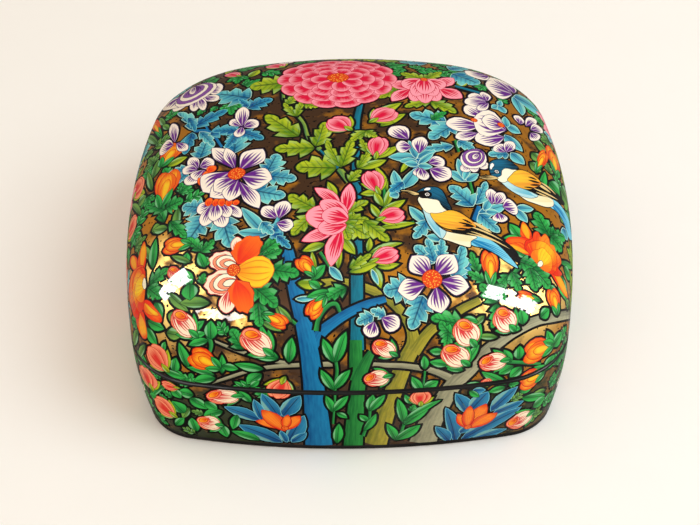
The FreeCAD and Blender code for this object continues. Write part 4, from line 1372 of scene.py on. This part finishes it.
def arrange(painting):
    """Cut the chart into triangles along every painted edge; each takes the topmost shape on it."""
    order = np.argsort(np.array(painting.order), kind="stable")
    corners, faces = [], []
    count = 0
    for index in order:
        shape = painting.chart[index]
        following = np.roll(shape, -1, 0)
        if (shape[:, 0] * following[:, 1] - following[:, 0] * shape[:, 1]).sum() < 0:
            shape = shape[::-1]
        corners.append(shape)
        faces.append(list(range(count, count + len(shape))))
        count += len(shape)
    edges = []
    for radius in (LID_RADIUS, BASE_RADIUS, FOOT_RADIUS):
        angle = np.linspace(0, 2 * math.pi, RIM_POINTS, endpoint=False)
        corners.append(radius * np.stack([np.cos(angle), np.sin(angle)], 1))
        edges += loop_edges(count, RIM_POINTS)
        count += RIM_POINTS
    grid = np.arange(-FOOT_RADIUS, FOOT_RADIUS + CHART_SPACING, CHART_SPACING)
    lattice = np.stack(np.meshgrid(grid, grid), -1).reshape(-1, 2)
    lattice[:, 0] += (np.arange(len(lattice)) // len(grid) % 2) * CHART_SPACING / 2
    corners.append(lattice[np.hypot(lattice[:, 0], lattice[:, 1]) < FOOT_RADIUS - CHART_CLEARANCE])
    points = [tuple(point) for point in np.concatenate(corners)]
    result = delaunay_2d_cdt(points, edges, faces, 0, CHART_TOLERANCE, True)
    verts = np.array([tuple(vert) for vert in result[0]])
    triangles = np.array(result[2])
    topmost = np.array([max(ids) if ids else -1 for ids in result[5]])
    return verts, triangles, np.where(topmost >= 0, order[topmost], -1)


def rim_loops(chart, triangles, rims):
    """The vertices on each rim, in order round the crown: their edges belong to one triangle only."""
    edges = np.sort(np.concatenate([triangles[:, [0, 1]], triangles[:, [1, 2]], triangles[:, [2, 0]]]), 1)
    unique, counts = np.unique(edges, axis=0, return_counts=True)
    open_verts = np.unique(unique[counts == 1])
    radius = np.hypot(*chart[open_verts].T)
    loops = []
    for rim in rims:
        if rim > 0:
            loop = open_verts[np.abs(radius - rim) < RIM_REACH]
            loops.append(loop[np.argsort(np.arctan2(chart[loop, 1], chart[loop, 0]))])
    return loops


def rim_strips(chart, loops, middle):
    """Triangles between each rim and the same rim inside, whose vertices are numbered after the chart's."""
    strips = []
    start = len(chart)
    for loop in loops:
        inside = start + np.arange(len(loop))
        following, inside_following = np.roll(loop, -1), np.roll(inside, -1)
        first = np.stack([loop, inside, following], 1)
        second = np.stack([following, inside, inside_following], 1)
        pair = np.concatenate([first, second])
        outer_rim = np.hypot(*chart[loop].T).mean() > middle
        strips.append(pair if outer_rim else pair[:, ::-1])
        start += len(loop)
    return strips


def skin_piece(name, verts, triangles, owner, painting, rims, material):
    """A painted skin as a closed shell: the painted outside, a plain inside and the rims between."""
    middle = np.hypot(*verts[triangles].mean(1).T)
    low, high = rims
    keep = (middle < high) & (middle > low)
    triangles, owner = triangles[keep], owner[keep]
    used, triangles = np.unique(triangles, return_inverse=True)
    triangles = triangles.reshape(-1, 3)
    chart = verts[used]
    turned = clockwise(chart, triangles)
    triangles[turned] = triangles[turned][:, ::-1]

    loops = rim_loops(chart, triangles, rims)
    inner_chart, inner_triangles = inner_lining([chart[loop] for loop in loops], low, high)
    strips = rim_strips(chart, loops, (low + high) / 2)
    all_triangles = np.concatenate([triangles, inner_triangles[:, ::-1] + len(chart)] + strips)
    points = np.concatenate([on_box(chart), on_box(inner_chart, SKIN * SKIN_DEPTH)]) * MM
    normals = np.concatenate([outward(chart), -outward(inner_chart)])

    mesh = bpy.data.meshes.new(name)
    mesh.from_pydata(points, [], all_triangles)
    mesh.polygons.foreach_set("use_smooth", np.ones(len(all_triangles), bool))
    paint_corners(mesh, chart, triangles, owner, painting, len(all_triangles))
    mesh.normals_split_custom_set_from_vertices(normals)
    mesh.materials.append(material)
    piece = bpy.data.objects.new(name, mesh)
    bpy.context.collection.objects.link(piece)
    return piece


def inner_lining(loops, low, high):
    """Chart triangles of the plain inside, which share the rims' points with the outside."""
    points, edges = [], []
    count = 0
    for loop in loops:
        points.append(loop)
        edges += loop_edges(count, len(loop))
        count += len(loop)
    grid = np.arange(-high, high + LINING_SPACING, LINING_SPACING)
    lattice = np.stack(np.meshgrid(grid, grid), -1).reshape(-1, 2)
    radius = np.hypot(lattice[:, 0], lattice[:, 1])
    least = low + LINING_CLEARANCE if low else -LINING_CLEARANCE
    points.append(lattice[(radius < high - LINING_CLEARANCE) & (radius > least)])
    points = np.concatenate(points)
    result = delaunay_2d_cdt([tuple(point) for point in points], edges, [], 0, LINING_TOLERANCE, True)
    # The result's vertices are put back in the order of the points that were given
    given = np.array([sources[-1] for sources in result[3]])
    triangles = given[np.array(result[2])]
    middle = np.hypot(*points[triangles].mean(1).T)
    triangles = triangles[(middle < high) & (middle > low)]
    turned = clockwise(points, triangles)
    triangles[turned] = triangles[turned][:, ::-1]
    return points, triangles


def paint_corners(mesh, chart, triangles, owner, painting, total):
    """Colours, strokes and the bake's map, per face corner; the plain inside is ink."""
    corners = chart[triangles]
    painted = owner >= 0
    reader = np.array(painting.reader)[owner]
    local = np.einsum("nij,nkj->nki", reader, np.concatenate([corners, np.ones_like(corners[..., :1])], 2))
    kind = np.where(painted, np.array(painting.kind)[owner], 0)
    paint = np.array(painting.paint)[owner]
    seed = np.array(painting.seed)[owner]
    data = {name: np.zeros((total, 3, 4)) for name in ("light", "dark", "stroke")}
    outer = slice(0, len(triangles))
    data["light"][outer, :, :3] = paint[:, None, 0]
    data["dark"][outer, :, :3] = paint[:, None, 1]
    data["stroke"][outer, :, :2] = np.where(painted[:, None, None], local, 0)
    data["stroke"][outer, :, 2] = kind[:, None]
    data["stroke"][outer, :, 3] = seed[:, None]
    data["stroke"][len(triangles):, :, 2] = PLAIN
    for name, values in data.items():
        layer = mesh.attributes.new(name, "FLOAT_COLOR", "CORNER")
        layer.data.foreach_set("color", values.astype(np.float32).ravel())
    side = MAP_WIDTH * np.hypot(*chart.T).max()
    places = np.full((total, 3, 2), MAP_INSIDE)
    places[outer] = corners / side + 0.5
    layer = mesh.uv_layers.new(name="OFBake")
    layer.data.foreach_set("uv", places.astype(np.float32).ravel())


class Value:
    """A shader value whose arithmetic adds Math nodes."""

    def __init__(self, graph, socket):
        self.graph, self.socket = graph, socket

    def math(self, operation, *values):
        """A Math node of this value and up to two others."""
        feeds = {place: value for place, value in enumerate((self,) + values)}
        return self.graph.add("Math", {"operation": operation}, feeds)

    def __add__(self, other):
        return self.math("ADD", other)

    def __sub__(self, other):
        return self.math("SUBTRACT", other)

    def __rsub__(self, other):
        return self.math("MULTIPLY_ADD", -1.0, other)

    def __mul__(self, other):
        return self.math("MULTIPLY", other)

    def __truediv__(self, other):
        return self.math("DIVIDE", other)

    def __pow__(self, other):
        return self.math("POWER", other)

    def __abs__(self):
        return self.math("ABSOLUTE")

    def larger(self, other):
        """The larger of two values."""
        return self.math("MAXIMUM", other)

    def clamped(self):
        """The value, kept from 0 to 1."""
        return self.larger(0.0).math("MINIMUM", 1.0)

    def smooth(self, low, high):
        """0 below low, 1 above high, and a smooth step between; high may be the lower one."""
        feeds = {"Value": self, "From Min": low, "From Max": high}
        return self.graph.add("MapRange", {"interpolation_type": "SMOOTHSTEP"}, feeds)

    def near(self, number, reach=0.5):
        """1 where the value is this number, and 0 elsewhere."""
        return self.math("COMPARE", number, reach)


class Graph:
    """The node tree of a new material, and one method that adds any node to it."""

    def __init__(self, name):
        self.material = bpy.data.materials.new(name)
        self.material.use_nodes = True
        self.tree = self.material.node_tree
        self.shader = self.tree.nodes["Principled BSDF"]

    def add(self, kind, settings=None, feeds=None, output=0):
        """A node of a type, its settings first, then the values or links of its sockets."""
        node = self.tree.nodes.new("ShaderNode" + kind)
        for name, value in (settings or {}).items():
            setattr(node, name, value)
        for name, value in (feeds or {}).items():
            self.feed(node.inputs[name], value)
        return Value(self, node.outputs[output])

    def feed(self, socket, value):
        """Link a value to a socket, or set the socket to a number, a colour or a vector."""
        if isinstance(value, Value):
            self.tree.links.new(value.socket, socket)
        elif hasattr(socket.default_value, "__len__") and hasattr(value, "__len__"):
            size = len(socket.default_value)
            socket.default_value = (list(value) + [1.0])[:size]
        else:
            socket.default_value = value

    def surface(self, **feeds):
        """Feed the shader's sockets, whose names are written with underscores, and give the material."""
        for name, value in feeds.items():
            self.feed(self.shader.inputs[name.replace("_", " ").title().replace("Ior", "IOR")], value)
        return self.material

    def mix(self, share, first, second):
        """Colours mixed by a share."""
        feeds = {0: share, 6: first, 7: second}
        return self.add("Mix", {"data_type": "RGBA"}, feeds, 2)

    def object_noise(self, scale, detail=2.0, roughness=0.5, stretch=None):
        """Noise in the object's own coordinates, in waves per metre."""
        place = self.add("TexCoord", output=3)
        if stretch:
            place = self.add("Mapping", None, {"Vector": place, "Scale": stretch})
        feeds = {"Vector": place, "Scale": scale, "Detail": detail, "Roughness": roughness}
        return self.add("TexNoise", None, feeds)


# The power that warps a petal's envelope, for the widest place of its outline
PETAL_WARP = 1.36
LEAF_SHINE = (0.42, 0.82, 0.5)
# Where the ground and the lacquer change, in metres across to the right, in to the back and up: a pair
# is where a change starts and where it is complete
GOLD_MIDDLE, GOLD_FADES = -0.012, (0.034, 0.022)
# The painted sheen: the ground painted paler high on the front at both sides, where the windows' light
# falls on the powder
SHEEN_REACH, SHEEN_RISE, SHEEN_FRONT = (0.106, 0.124), (0.032, 0.042), (-0.026, -0.034)
SHEEN_SIDES, SHEEN_SHIFT = (-0.01, 0.01), 0.008
MOSS_LEVEL, MOSS_REACH = (0.026, 0.02), (0.016, 0.03)
COAT_FRONT, COAT_NEAREST, COAT_RIGHT = (-0.034, -0.038), (-0.053, -0.051), (0.0, 0.01)
# Clear lacquer on the sides and the back, and its index of refraction
SIDE_COAT, LACQUER_IOR = 0.3, 1.45


class Shape:
    """The painted shape under a point, read from the mesh, and noises that follow its own length.

    run and side are the shares along and across it, bend is side as a share of a petal's half width
    at that run, kind is its kind of stroke, lobes its number of lobes and seed its own number."""

    def __init__(self, graph):
        self.graph = graph
        stroke = graph.add("Attribute", {"attribute_name": "stroke"})
        tag = graph.add("Attribute", {"attribute_name": "stroke"}, output=3)
        self.run, self.side, self.kind = (graph.add("SeparateColor", None, {0: stroke}, place)
                                          for place in range(3))
        self.lobes = tag.math("FLOOR")
        self.seed = tag - self.lobes
        arch = (self.run.clamped() ** PETAL_WARP * math.pi).math("SINE")
        self.bend = self.side / arch.larger(0.02) ** PETAL_BLUNT
        self.hair = self.streaks(1.3, self.side * 7.0) - 0.5
        self.fan = self.streaks(1.1, self.bend * 6.0) - 0.5

    def streaks(self, long_scale, cross, detail=2.0):
        """Noise drawn out along the shape, different in each shape."""
        feeds = {0: self.run * long_scale, 1: cross, 2: self.seed * 40.0}
        place = self.graph.add("CombineXYZ", None, feeds)
        return self.graph.add("TexNoise", None, {"Vector": place, "Scale": 1.0, "Detail": detail})

    def by_kind(self, values):
        """The value of the shape's kind of stroke, or nothing for a kind without one."""
        parts = [self.kind.near(kind) * value for kind, value in values.items()]
        return sum(parts[1:], parts[0])


def leaf_strokes(shape):
    """Dark share, lines and shine of a leaf: dark by its foot, midrib and creases, pale at its rims."""
    run, side, hair = shape.run, shape.side, shape.hair
    flat = abs(side)
    phase = ((run - flat * 0.28) * shape.lobes).math("PINGPONG", 0.5)
    has_lobes = shape.lobes.smooth(0.4, 0.6)
    vein = (1.0 - phase.smooth(0.015, 0.075)) * has_lobes * flat.smooth(0.9, 0.5)
    midrib = flat.smooth(0.1, 0.03) * run.smooth(0.98, 0.8)
    crease = phase.smooth(0.3, 0.5) * has_lobes * flat.smooth(0.9, 0.3)
    dark = (run.smooth(0.9, 0.0) * 0.5 + flat.smooth(0.75, 0.1) * 0.3 + crease * 0.35
            + side.smooth(-0.3, 0.6) * 0.26 + hair * 0.9 - 0.04)
    rim = (side - run * 0.1).smooth(0.42, 0.62) * run.smooth(0.05, 0.3) * (1.0 - has_lobes)
    tips = (flat - phase * 0.6).smooth(0.4, 0.75) * has_lobes
    shine = rim * 0.4 + tips * 0.16 + (hair * 5.0).smooth(0.6, 1.0) * 0.16
    return dark, (vein * 0.75).larger(midrib), shine


def petal_strokes(shape):
    """Dark shares and fine lines of the kinds of petal.

    Streaks and ribs are cosines across the petal, which end sooner towards its edges. A blushing
    petal is dark in the middle, and an edged one at its edges, its tip and its foot."""
    run, side, bend, fan = shape.run, shape.side, shape.bend, shape.fan
    edge = abs(bend)
    ridges = (bend * 22.0).math("COSINE")
    left = 0.8 - edge * edge * 0.42 + fan * 0.5 - run
    streak = (left * 3.2 - ridges * 0.5).smooth(0.2, 0.7) * edge.smooth(0.95, 0.66)
    rim = edge.smooth(0.66, 0.94).larger(run.smooth(0.82, 0.97))
    foot = run.smooth(0.9, 0.1) * 0.8 + 0.16 + fan * 0.6 + side.smooth(0.1, 0.9) * 0.3
    border = edge.smooth(0.3, 0.95).larger(run.smooth(0.72, 1.0))
    dark = {
        PETAL: foot * (1.0 - rim * 0.7),
        STREAK: streak * (edge.smooth(0.03, 0.16) * 0.6 + 0.4),
        RIBBED: (left + 0.05).smooth(-0.1, 0.9) * 0.8,
        BLUSHING: 1.1 - edge.smooth(0.2, 0.95).larger(run.smooth(0.5, 0.98)) + fan * 1.1,
        EDGED: border * 0.85 + run.smooth(0.4, 0.0) * 0.45 + fan,
    }
    fine = ridges.smooth(-0.7, -1.0) * run.smooth(0.9, 0.4) * edge.smooth(0.95, 0.75)
    ribs = (bend * 15.0).math("COSINE").smooth(-0.55, -0.95) * run.smooth(0.97, 0.8)
    lines = {PETAL: fine * 0.3, STREAK: fine * 0.25, RIBBED: ribs * 0.6, BLUSHING: fine * 0.35,
             EDGED: fine * 0.5}
    return dark, lines


def other_strokes(shape):
    """Dark shares of bark, which is streaked and darker on one side, of feathers and of dotted middles."""
    run, side = shape.run, shape.side
    grain = shape.streaks(3.0, side * 4.0, 3.0)
    spot_place = shape.graph.add("CombineXYZ", None, {0: run * 6.0, 1: side * 3.0})
    spots = shape.graph.add("TexVoronoi", None, {"Vector": spot_place, "Scale": 1.6})
    return {
        BARK: side.smooth(-0.9, 0.9) * 0.55 + (grain - 0.4) * 1.5,
        FEATHER: run.smooth(0.2, 1.0) * 0.6 + shape.hair * 2.2 + side.smooth(0.2, -0.6) * 0.4,
        STIPPLE: spots.smooth(0.2, 0.4),
    }


def motif_colour(graph, shape):
    """A shape's light tone, darkened by its strokes, then its lines in ink and a leaf's shine."""
    light = graph.add("Attribute", {"attribute_name": "light"})
    dark = graph.add("Attribute", {"attribute_name": "dark"})
    leaf_dark, leaf_lines, leaf_shine = leaf_strokes(shape)
    petal_dark, petal_lines = petal_strokes(shape)
    share = shape.by_kind({LEAF: leaf_dark, **petal_dark, **other_strokes(shape)}).clamped()
    lines = shape.by_kind({LEAF: leaf_lines * 0.8, **petal_lines})
    is_leaf = shape.kind.near(LEAF)
    motif = graph.mix(share, light, dark)
    motif = graph.mix(lines, motif, graph.mix(is_leaf * 0.55 + 0.1, dark, list(INK)))
    return graph.mix(is_leaf * leaf_shine, motif, LEAF_SHINE)


def ground_colour(graph, sizes, across, deep, high):
    """The dark ground under bronze powder, mossy low on the sides, with a painted sheen, and the powder's
    share of it.

    The powder lies in clouds of noise, thicker to the sides and the front and thinner low down. High on the
    front at both sides the ground is painted paler, a painted sheen of the windows' light on the powder."""
    mix = graph.mix
    golden = abs(across - GOLD_MIDDLE) * 8.0 - deep * 2.0 - high.smooth(*GOLD_FADES) * 0.35 - 0.1
    blotch = graph.object_noise(190.0, 3.0) + golden * 0.5
    bare = 0.62 - sizes.powder_share * 0.26
    powder = blotch.smooth(bare, bare + 0.22)
    # Painted sheen: the ground and its powder painted paler high on the front at both sides, where the
    # windows' light falls
    painted_sheen = (abs(across) - deep * 0.6 + blotch * 0.08).smooth(*SHEEN_REACH) * high.smooth(*SHEEN_RISE)
    painted_sheen = painted_sheen * (deep + across.smooth(*SHEEN_SIDES) * SHEEN_SHIFT).smooth(*SHEEN_FRONT)
    bronze = mix(painted_sheen, list(sizes.powder), list(sizes.painted_sheen_powder))
    mossy = high.smooth(*MOSS_LEVEL) * abs(across).smooth(*MOSS_REACH)
    base_coat = mix(mossy * 0.75, list(sizes.ground), list(sizes.moss))
    powder = powder * (1.0 - mossy * 0.6)
    covered = mix(powder.larger(painted_sheen * 0.9), base_coat, bronze)
    speck = graph.object_noise(900.0, 1.0).smooth(0.66, 0.69)
    return mix(speck, covered, list(INK)), powder


def lacquer_cover(graph, on_ground, across, deep):
    """How much clear lacquer lies on top: thin and even, but in thick ragged patches on the front.

    Left of the middle of the nearest face the patches keep off the motifs."""
    thick = graph.object_noise(520.0, 4.0, 0.6, (1.0, 1.0, 1.7)).smooth(0.44, 0.47)
    away = deep.smooth(*COAT_NEAREST).larger(across.smooth(*COAT_RIGHT))
    front = deep.smooth(*COAT_FRONT)
    ragged = thick * (on_ground * (1.0 - away) + away)
    return ragged * front + (1.0 - front) * SIDE_COAT


def painted_lacquer(name, sizes):
    """Opaque paint over a bronze-powder ground, under a clear glossy lacquer."""
    graph = Graph(name)
    shape = Shape(graph)
    place = graph.add("TexCoord", output=3)
    across, deep, high = (graph.add("SeparateXYZ", None, {0: place}, axis) for axis in range(3))
    ground, powder = ground_colour(graph, sizes, across, deep, high)
    on_ground = shape.kind.near(0)
    colour = graph.mix(on_ground, motif_colour(graph, shape), ground)
    wave, ripple, grit = (graph.object_noise(*noise) for noise in ((60.0, 1.0), (260.0,), (900.0,)))
    relief = wave + ripple * 0.14 + grit * 0.03
    bump = graph.add("Bump", None, {"Strength": 0.3, "Distance": 0.5 * MM, "Height": relief})
    return graph.surface(
        base_color=colour, metallic=on_ground * (powder * 0.25 + 0.3), roughness=0.62 - on_ground * 0.2,
        specular_ior_level=0.08, normal=bump, coat_weight=lacquer_cover(graph, on_ground, across, deep),
        coat_roughness=sizes.gloss, coat_ior=LACQUER_IOR)


def plain_lacquer(name, colour, roughness, coat):
    """Brushed-on lacquer over pulp or board: slightly uneven, with fine dust in it."""
    graph = Graph(name)
    cloud = graph.object_noise(60.0, 3.0)
    fine = graph.object_noise(1500.0, 2.0)
    worn = [min(1.0, share * 1.9 + 0.004) for share in colour]
    tone = graph.mix(cloud.smooth(0.35, 0.7), colour, worn)
    relief = cloud + fine * 0.08
    bump = graph.add("Bump", None, {"Strength": 0.3, "Distance": 0.3 * MM, "Height": relief})
    return graph.surface(base_color=tone, roughness=roughness, specular_ior_level=0.2, coat_weight=coat,
                         coat_roughness=0.06, normal=bump)


def paper_pulp(name, colour):
    """Bare paper pulp: fibrous, matt, and mottled where the layers show through."""
    graph = Graph(name)
    cloud = graph.object_noise(90.0, 4.0, 0.6)
    fibre = graph.object_noise(900.0, 3.0, 0.7, (1.0, 0.25, 1.0))
    tone = graph.mix(cloud.smooth(0.3, 0.7), colour, [share * 0.6 for share in colour])
    bump = graph.add("Bump", None, {"Strength": 0.5, "Distance": 0.4 * MM, "Height": fibre + cloud})
    return graph.surface(base_color=tone, roughness=0.9, normal=bump)


def painted_mesh(name, body, node, slot, rims):
    """One half of the painting, as a skin in the place of its frame node."""
    sizes = bpy.context.scene.painted_box
    verts, triangles, owner, painting = painted_chart(sizes.outline / MM)
    material = painted_lacquer(slot, sizes)
    piece = skin_piece(name, verts, triangles, owner, painting, rims, material)
    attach(piece, body)
    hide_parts(node)


def colour_property(name, description, *colour):
    """A colour that a user can change, with its default written as sRGB."""
    return bpy.props.FloatVectorProperty(name=name, description=description, subtype="COLOR", size=3,
                                         min=0.0, max=1.0, default=tuple(linear(*colour)))


# Nodes with black lacquer outside and inside, with the roughness and the clear coat of each
EDGE_NODES, EDGE_FINISH = ("base_rim_edge", "lid_rim_edge", "foot_board"), (0.5, 0.04)
INSIDE_NODES, INSIDE_FINISH = ("locating_collar", "base_lining", "lid_lining"), (0.42, 0.35)
PULP_NODES = ("base_shell", "lid_shell")


class PaintedBoxSettings(bpy.types.PropertyGroup):
    """Sizes and colours of the painting, the lacquer and the stage."""

    outline: bpy.props.FloatProperty(
        name="Outline", description="Width of the black line round a leaf", unit="LENGTH",
        default=0.74 * MM, min=0.1 * MM, max=1.0 * MM, precision=5)
    ground: colour_property("Ground", "Dark ground under the painting", 80, 54, 34)
    moss: colour_property("Moss", "Ground between the leaves low on the sides", 36, 62, 32)
    powder: colour_property("Bronze powder", "Metal powder brushed over the ground", 196, 128, 36)
    # Painted sheen: the pale tone painted on the ground where the windows' light falls on the powder
    painted_sheen_powder: colour_property("Pale powder", "Brass powder where the ground is lightest", 246, 206, 118)
    powder_share: bpy.props.FloatProperty(
        name="Powder cover", description="How much of the ground the bronze powder covers",
        subtype="FACTOR", default=0.5, min=0.0, max=1.0)
    edge: colour_property("Edge lacquer", "Lacquer of the rims and the foot board", 17, 14, 13)
    inside: colour_property("Inside lacquer", "Satin lacquer of the linings and the collar", 20, 17, 16)
    pulp: colour_property("Paper pulp", "Bare pulp of the two shells", 150, 122, 92)
    gloss: bpy.props.FloatProperty(
        name="Gloss", description="Roughness of the clear lacquer over the painting",
        subtype="FACTOR", default=0.04, min=0.0, max=1.0)
    floor: colour_property("Floor", "Floor that the box stands on", 254, 249, 240)
    floor_size: bpy.props.FloatProperty(
        name="Floor width", description="Width of the floor", unit="LENGTH", default=6.0, min=0.5)
    key_power: bpy.props.FloatProperty(
        name="Key light", description="Power of the softbox on the right", subtype="POWER",
        default=4.9, min=0.0)


class PAINTEDBOX_OT_lid(bpy.types.Operator):
    """Paint and lacquer the outside of the lid"""

    bl_idname = "paintedbox.lid"
    bl_label = "Painted lid"

    def execute(self, context):
        painted_mesh("painted_lid", "lid", "lid_painted_skin", "lid_painting", (0, LID_RADIUS))
        return {"FINISHED"}


class PAINTEDBOX_OT_base(bpy.types.Operator):
    """Paint and lacquer the outside of the base"""

    bl_idname = "paintedbox.base"
    bl_label = "Painted base"

    def execute(self, context):
        rims = (BASE_RADIUS, FOOT_RADIUS)
        painted_mesh("painted_base", "base", "base_painted_skin", "base_painting", rims)
        return {"FINISHED"}


class PAINTEDBOX_OT_lacquer(bpy.types.Operator):
    """Lacquer the rims, the foot board, the collar and the linings"""

    bl_idname = "paintedbox.lacquer"
    bl_label = "Black lacquer"

    def execute(self, context):
        sizes = context.scene.painted_box
        for nodes, colour, finish in ((EDGE_NODES, sizes.edge, EDGE_FINISH),
                                      (INSIDE_NODES, sizes.inside, INSIDE_FINISH)):
            for node in nodes:
                coat_node(node, plain_lacquer(node + " lacquer", list(colour), *finish))
        return {"FINISHED"}


class PAINTEDBOX_OT_pulp(bpy.types.Operator):
    """Give the two shells their bare paper pulp"""

    bl_idname = "paintedbox.pulp"
    bl_label = "Pulp shells"

    def execute(self, context):
        for node in PULP_NODES:
            coat_node(node, paper_pulp(node + " pulp", list(context.scene.painted_box.pulp)))
        return {"FINISHED"}


def coat_node(node, material):
    """A frame node keeps its mesh and gets a material in each of its slots."""
    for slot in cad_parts[node].material_slots:
        slot.material = material


class PAINTEDBOX_OT_stage(bpy.types.Operator):
    """Set the floor, the lights and the photograph's camera"""

    bl_idname = "paintedbox.stage"
    bl_label = "Stage"

    def execute(self, context):
        sizes = context.scene.painted_box
        lay_floor(sizes)
        key = hang_light("key softbox", KEY_SIZE, sizes.key_power, KEY_ANGLES, KEY_DISTANCE, (0, 0, 0))
        key.data.color = KEY_COLOUR
        key.visible_glossy = False
        for name, size, radiance, angles, aim in WINDOWS:
            power = radiance * math.pi * size[0] * size[1]
            window = hang_light(name, size, power, angles, WINDOW_DISTANCE, aim)
            window.visible_diffuse = False
        light_world(context.scene)
        place_camera(context.scene)
        context.scene.view_settings.view_transform = "Standard"
        return {"FINISHED"}


def lay_floor(sizes):
    """A square sheet, level with the underside of the box."""
    half = sizes.floor_size / 2
    corners = np.array([(-half, -half, 0), (half, -half, 0), (half, half, 0), (-half, half, 0)])
    mesh = bpy.data.meshes.new("floor")
    mesh.from_pydata(corners, [], [(0, 1, 2, 3)])
    graph = Graph("floor")
    grain = graph.object_noise(40.0, 3.0)
    grained = [share * FLOOR_GRAIN for share in sizes.floor]
    tone = graph.mix(grain.smooth(0.3, 0.7), list(sizes.floor), grained)
    mirrored = graph.add("LightPath", output=3)
    tone = graph.mix(mirrored, tone, [share * FLOOR_MIRRORED for share in sizes.floor])
    mesh.materials.append(graph.surface(base_color=tone, roughness=0.9, specular_ior_level=0.1))
    floor = bpy.data.objects.new("floor", mesh)
    bpy.context.collection.objects.link(floor)


def hang_light(name, size, power, angles, distance, aim):
    """A rectangular area light: turned and raised about the place that it faces, then spun."""
    data = bpy.data.lights.new(name, "AREA")
    data.shape, data.energy = "RECTANGLE", power
    data.size, data.size_y = size
    turn, rise, spin = (math.radians(angle) for angle in angles)
    back = Vector((math.cos(turn) * math.cos(rise), math.sin(turn) * math.cos(rise), math.sin(rise)))
    light = bpy.data.objects.new(name, data)
    place = Matrix.Translation(Vector(aim) + back * distance)
    facing = back.to_track_quat("Z", "Y").to_matrix().to_4x4()
    light.matrix_world = place @ facing @ Matrix.Rotation(spin, 4, "Z")
    bpy.context.collection.objects.link(light)
    return light


def light_world(scene):
    """Soft light from all round, most of it from above and the front.

    The lacquer mirrors a dim even world, and the camera sees the floor's colour beyond the floor."""
    scene.world = bpy.data.worlds.new("studio")
    scene.world.use_nodes = True
    nodes, links = scene.world.node_tree.nodes, scene.world.node_tree.links
    path = nodes.new("ShaderNodeLightPath")

    def background(colour, strength=1.0):
        """Light of one colour from all round."""
        node = nodes.new("ShaderNodeBackground")
        node.inputs["Color"].default_value = (*colour, 1)
        node.inputs["Strength"].default_value = strength
        return node

    def unless(ray, usual, other):
        """One background, and another one for a kind of ray."""
        choice = nodes.new("ShaderNodeMixShader")
        links.new(path.outputs[ray], choice.inputs[0])
        links.new(usual.outputs[0], choice.inputs[1])
        links.new(other.outputs[0], choice.inputs[2])
        return choice

    light = nodes["Background"]
    light.inputs["Color"].default_value = (*WORLD_COLOUR, 1)
    direction = nodes.new("ShaderNodeTexCoord")
    slope = nodes.new("ShaderNodeVectorMath")
    slope.operation = "DOT_PRODUCT"
    slope.inputs[1].default_value = WORLD_SLOPE
    links.new(direction.outputs["Generated"], slope.inputs[0])
    level = nodes.new("ShaderNodeMath")
    level.operation = "ADD"
    level.use_clamp = True
    level.inputs[1].default_value = WORLD_LIGHT
    links.new(slope.outputs["Value"], level.inputs[0])
    links.new(level.outputs[0], light.inputs["Strength"])
    mirrored = unless("Is Glossy Ray", light, background(WORLD_MIRRORED_COLOUR, WORLD_MIRRORED))
    world = unless("Is Camera Ray", mirrored, background(WORLD_SEEN))
    links.new(world.outputs[0], nodes["World Output"].inputs["Surface"])


def place_camera(scene):
    """The photograph's camera, with the lens that gives its focal length on the sensor."""
    right, up, back, centre = camera_axes()
    data = bpy.data.cameras.new("camera")
    data.sensor_width = SENSOR
    data.lens = CAMERA_FOCAL * SENSOR / PICTURE[0]
    data.clip_start, data.clip_end = CLIP_NEAR, CLIP_FAR
    camera = bpy.data.objects.new("camera", data)
    matrix = np.eye(4)
    matrix[:3, :3] = np.stack([right, up, back], 1)
    matrix[:3, 3] = centre * MM
    camera.matrix_world = Matrix(matrix)
    bpy.context.collection.objects.link(camera)
    scene.camera = camera


STEPS = (PAINTEDBOX_OT_lid, PAINTEDBOX_OT_base, PAINTEDBOX_OT_lacquer, PAINTEDBOX_OT_pulp,
         PAINTEDBOX_OT_stage)


class PAINTEDBOX_PT_panel(bpy.types.Panel):
    """Lists the steps, and the sizes and colours that they use"""

    bl_idname = "PAINTEDBOX_PT_panel"
    bl_label = "Painted box"
    bl_space_type = "VIEW_3D"
    bl_region_type = "UI"
    bl_category = "Painted box"

    def draw(self, context):
        sizes = context.scene.painted_box
        for name in sizes.bl_rna.properties.keys():
            if name not in ("rna_type", "name"):
                self.layout.prop(sizes, name)
        for step in STEPS:
            self.layout.operator(step.bl_idname)


CLASSES = (PaintedBoxSettings, *STEPS, PAINTEDBOX_PT_panel)


def register():
    """Add the settings, the steps and the panel."""
    for cls in CLASSES:
        bpy.utils.register_class(cls)
    bpy.types.Scene.painted_box = bpy.props.PointerProperty(type=PaintedBoxSettings)


def unregister():
    """Take them away again."""
    del bpy.types.Scene.painted_box
    for cls in reversed(CLASSES):
        bpy.utils.unregister_class(cls)


def main():
    """Build the scene step by step."""
    register()
    bpy.ops.paintedbox.lid()
    bpy.ops.paintedbox.base()
    bpy.ops.paintedbox.lacquer()
    bpy.ops.paintedbox.pulp()
    bpy.ops.paintedbox.stage()


if __name__ == "__main__":
    main()
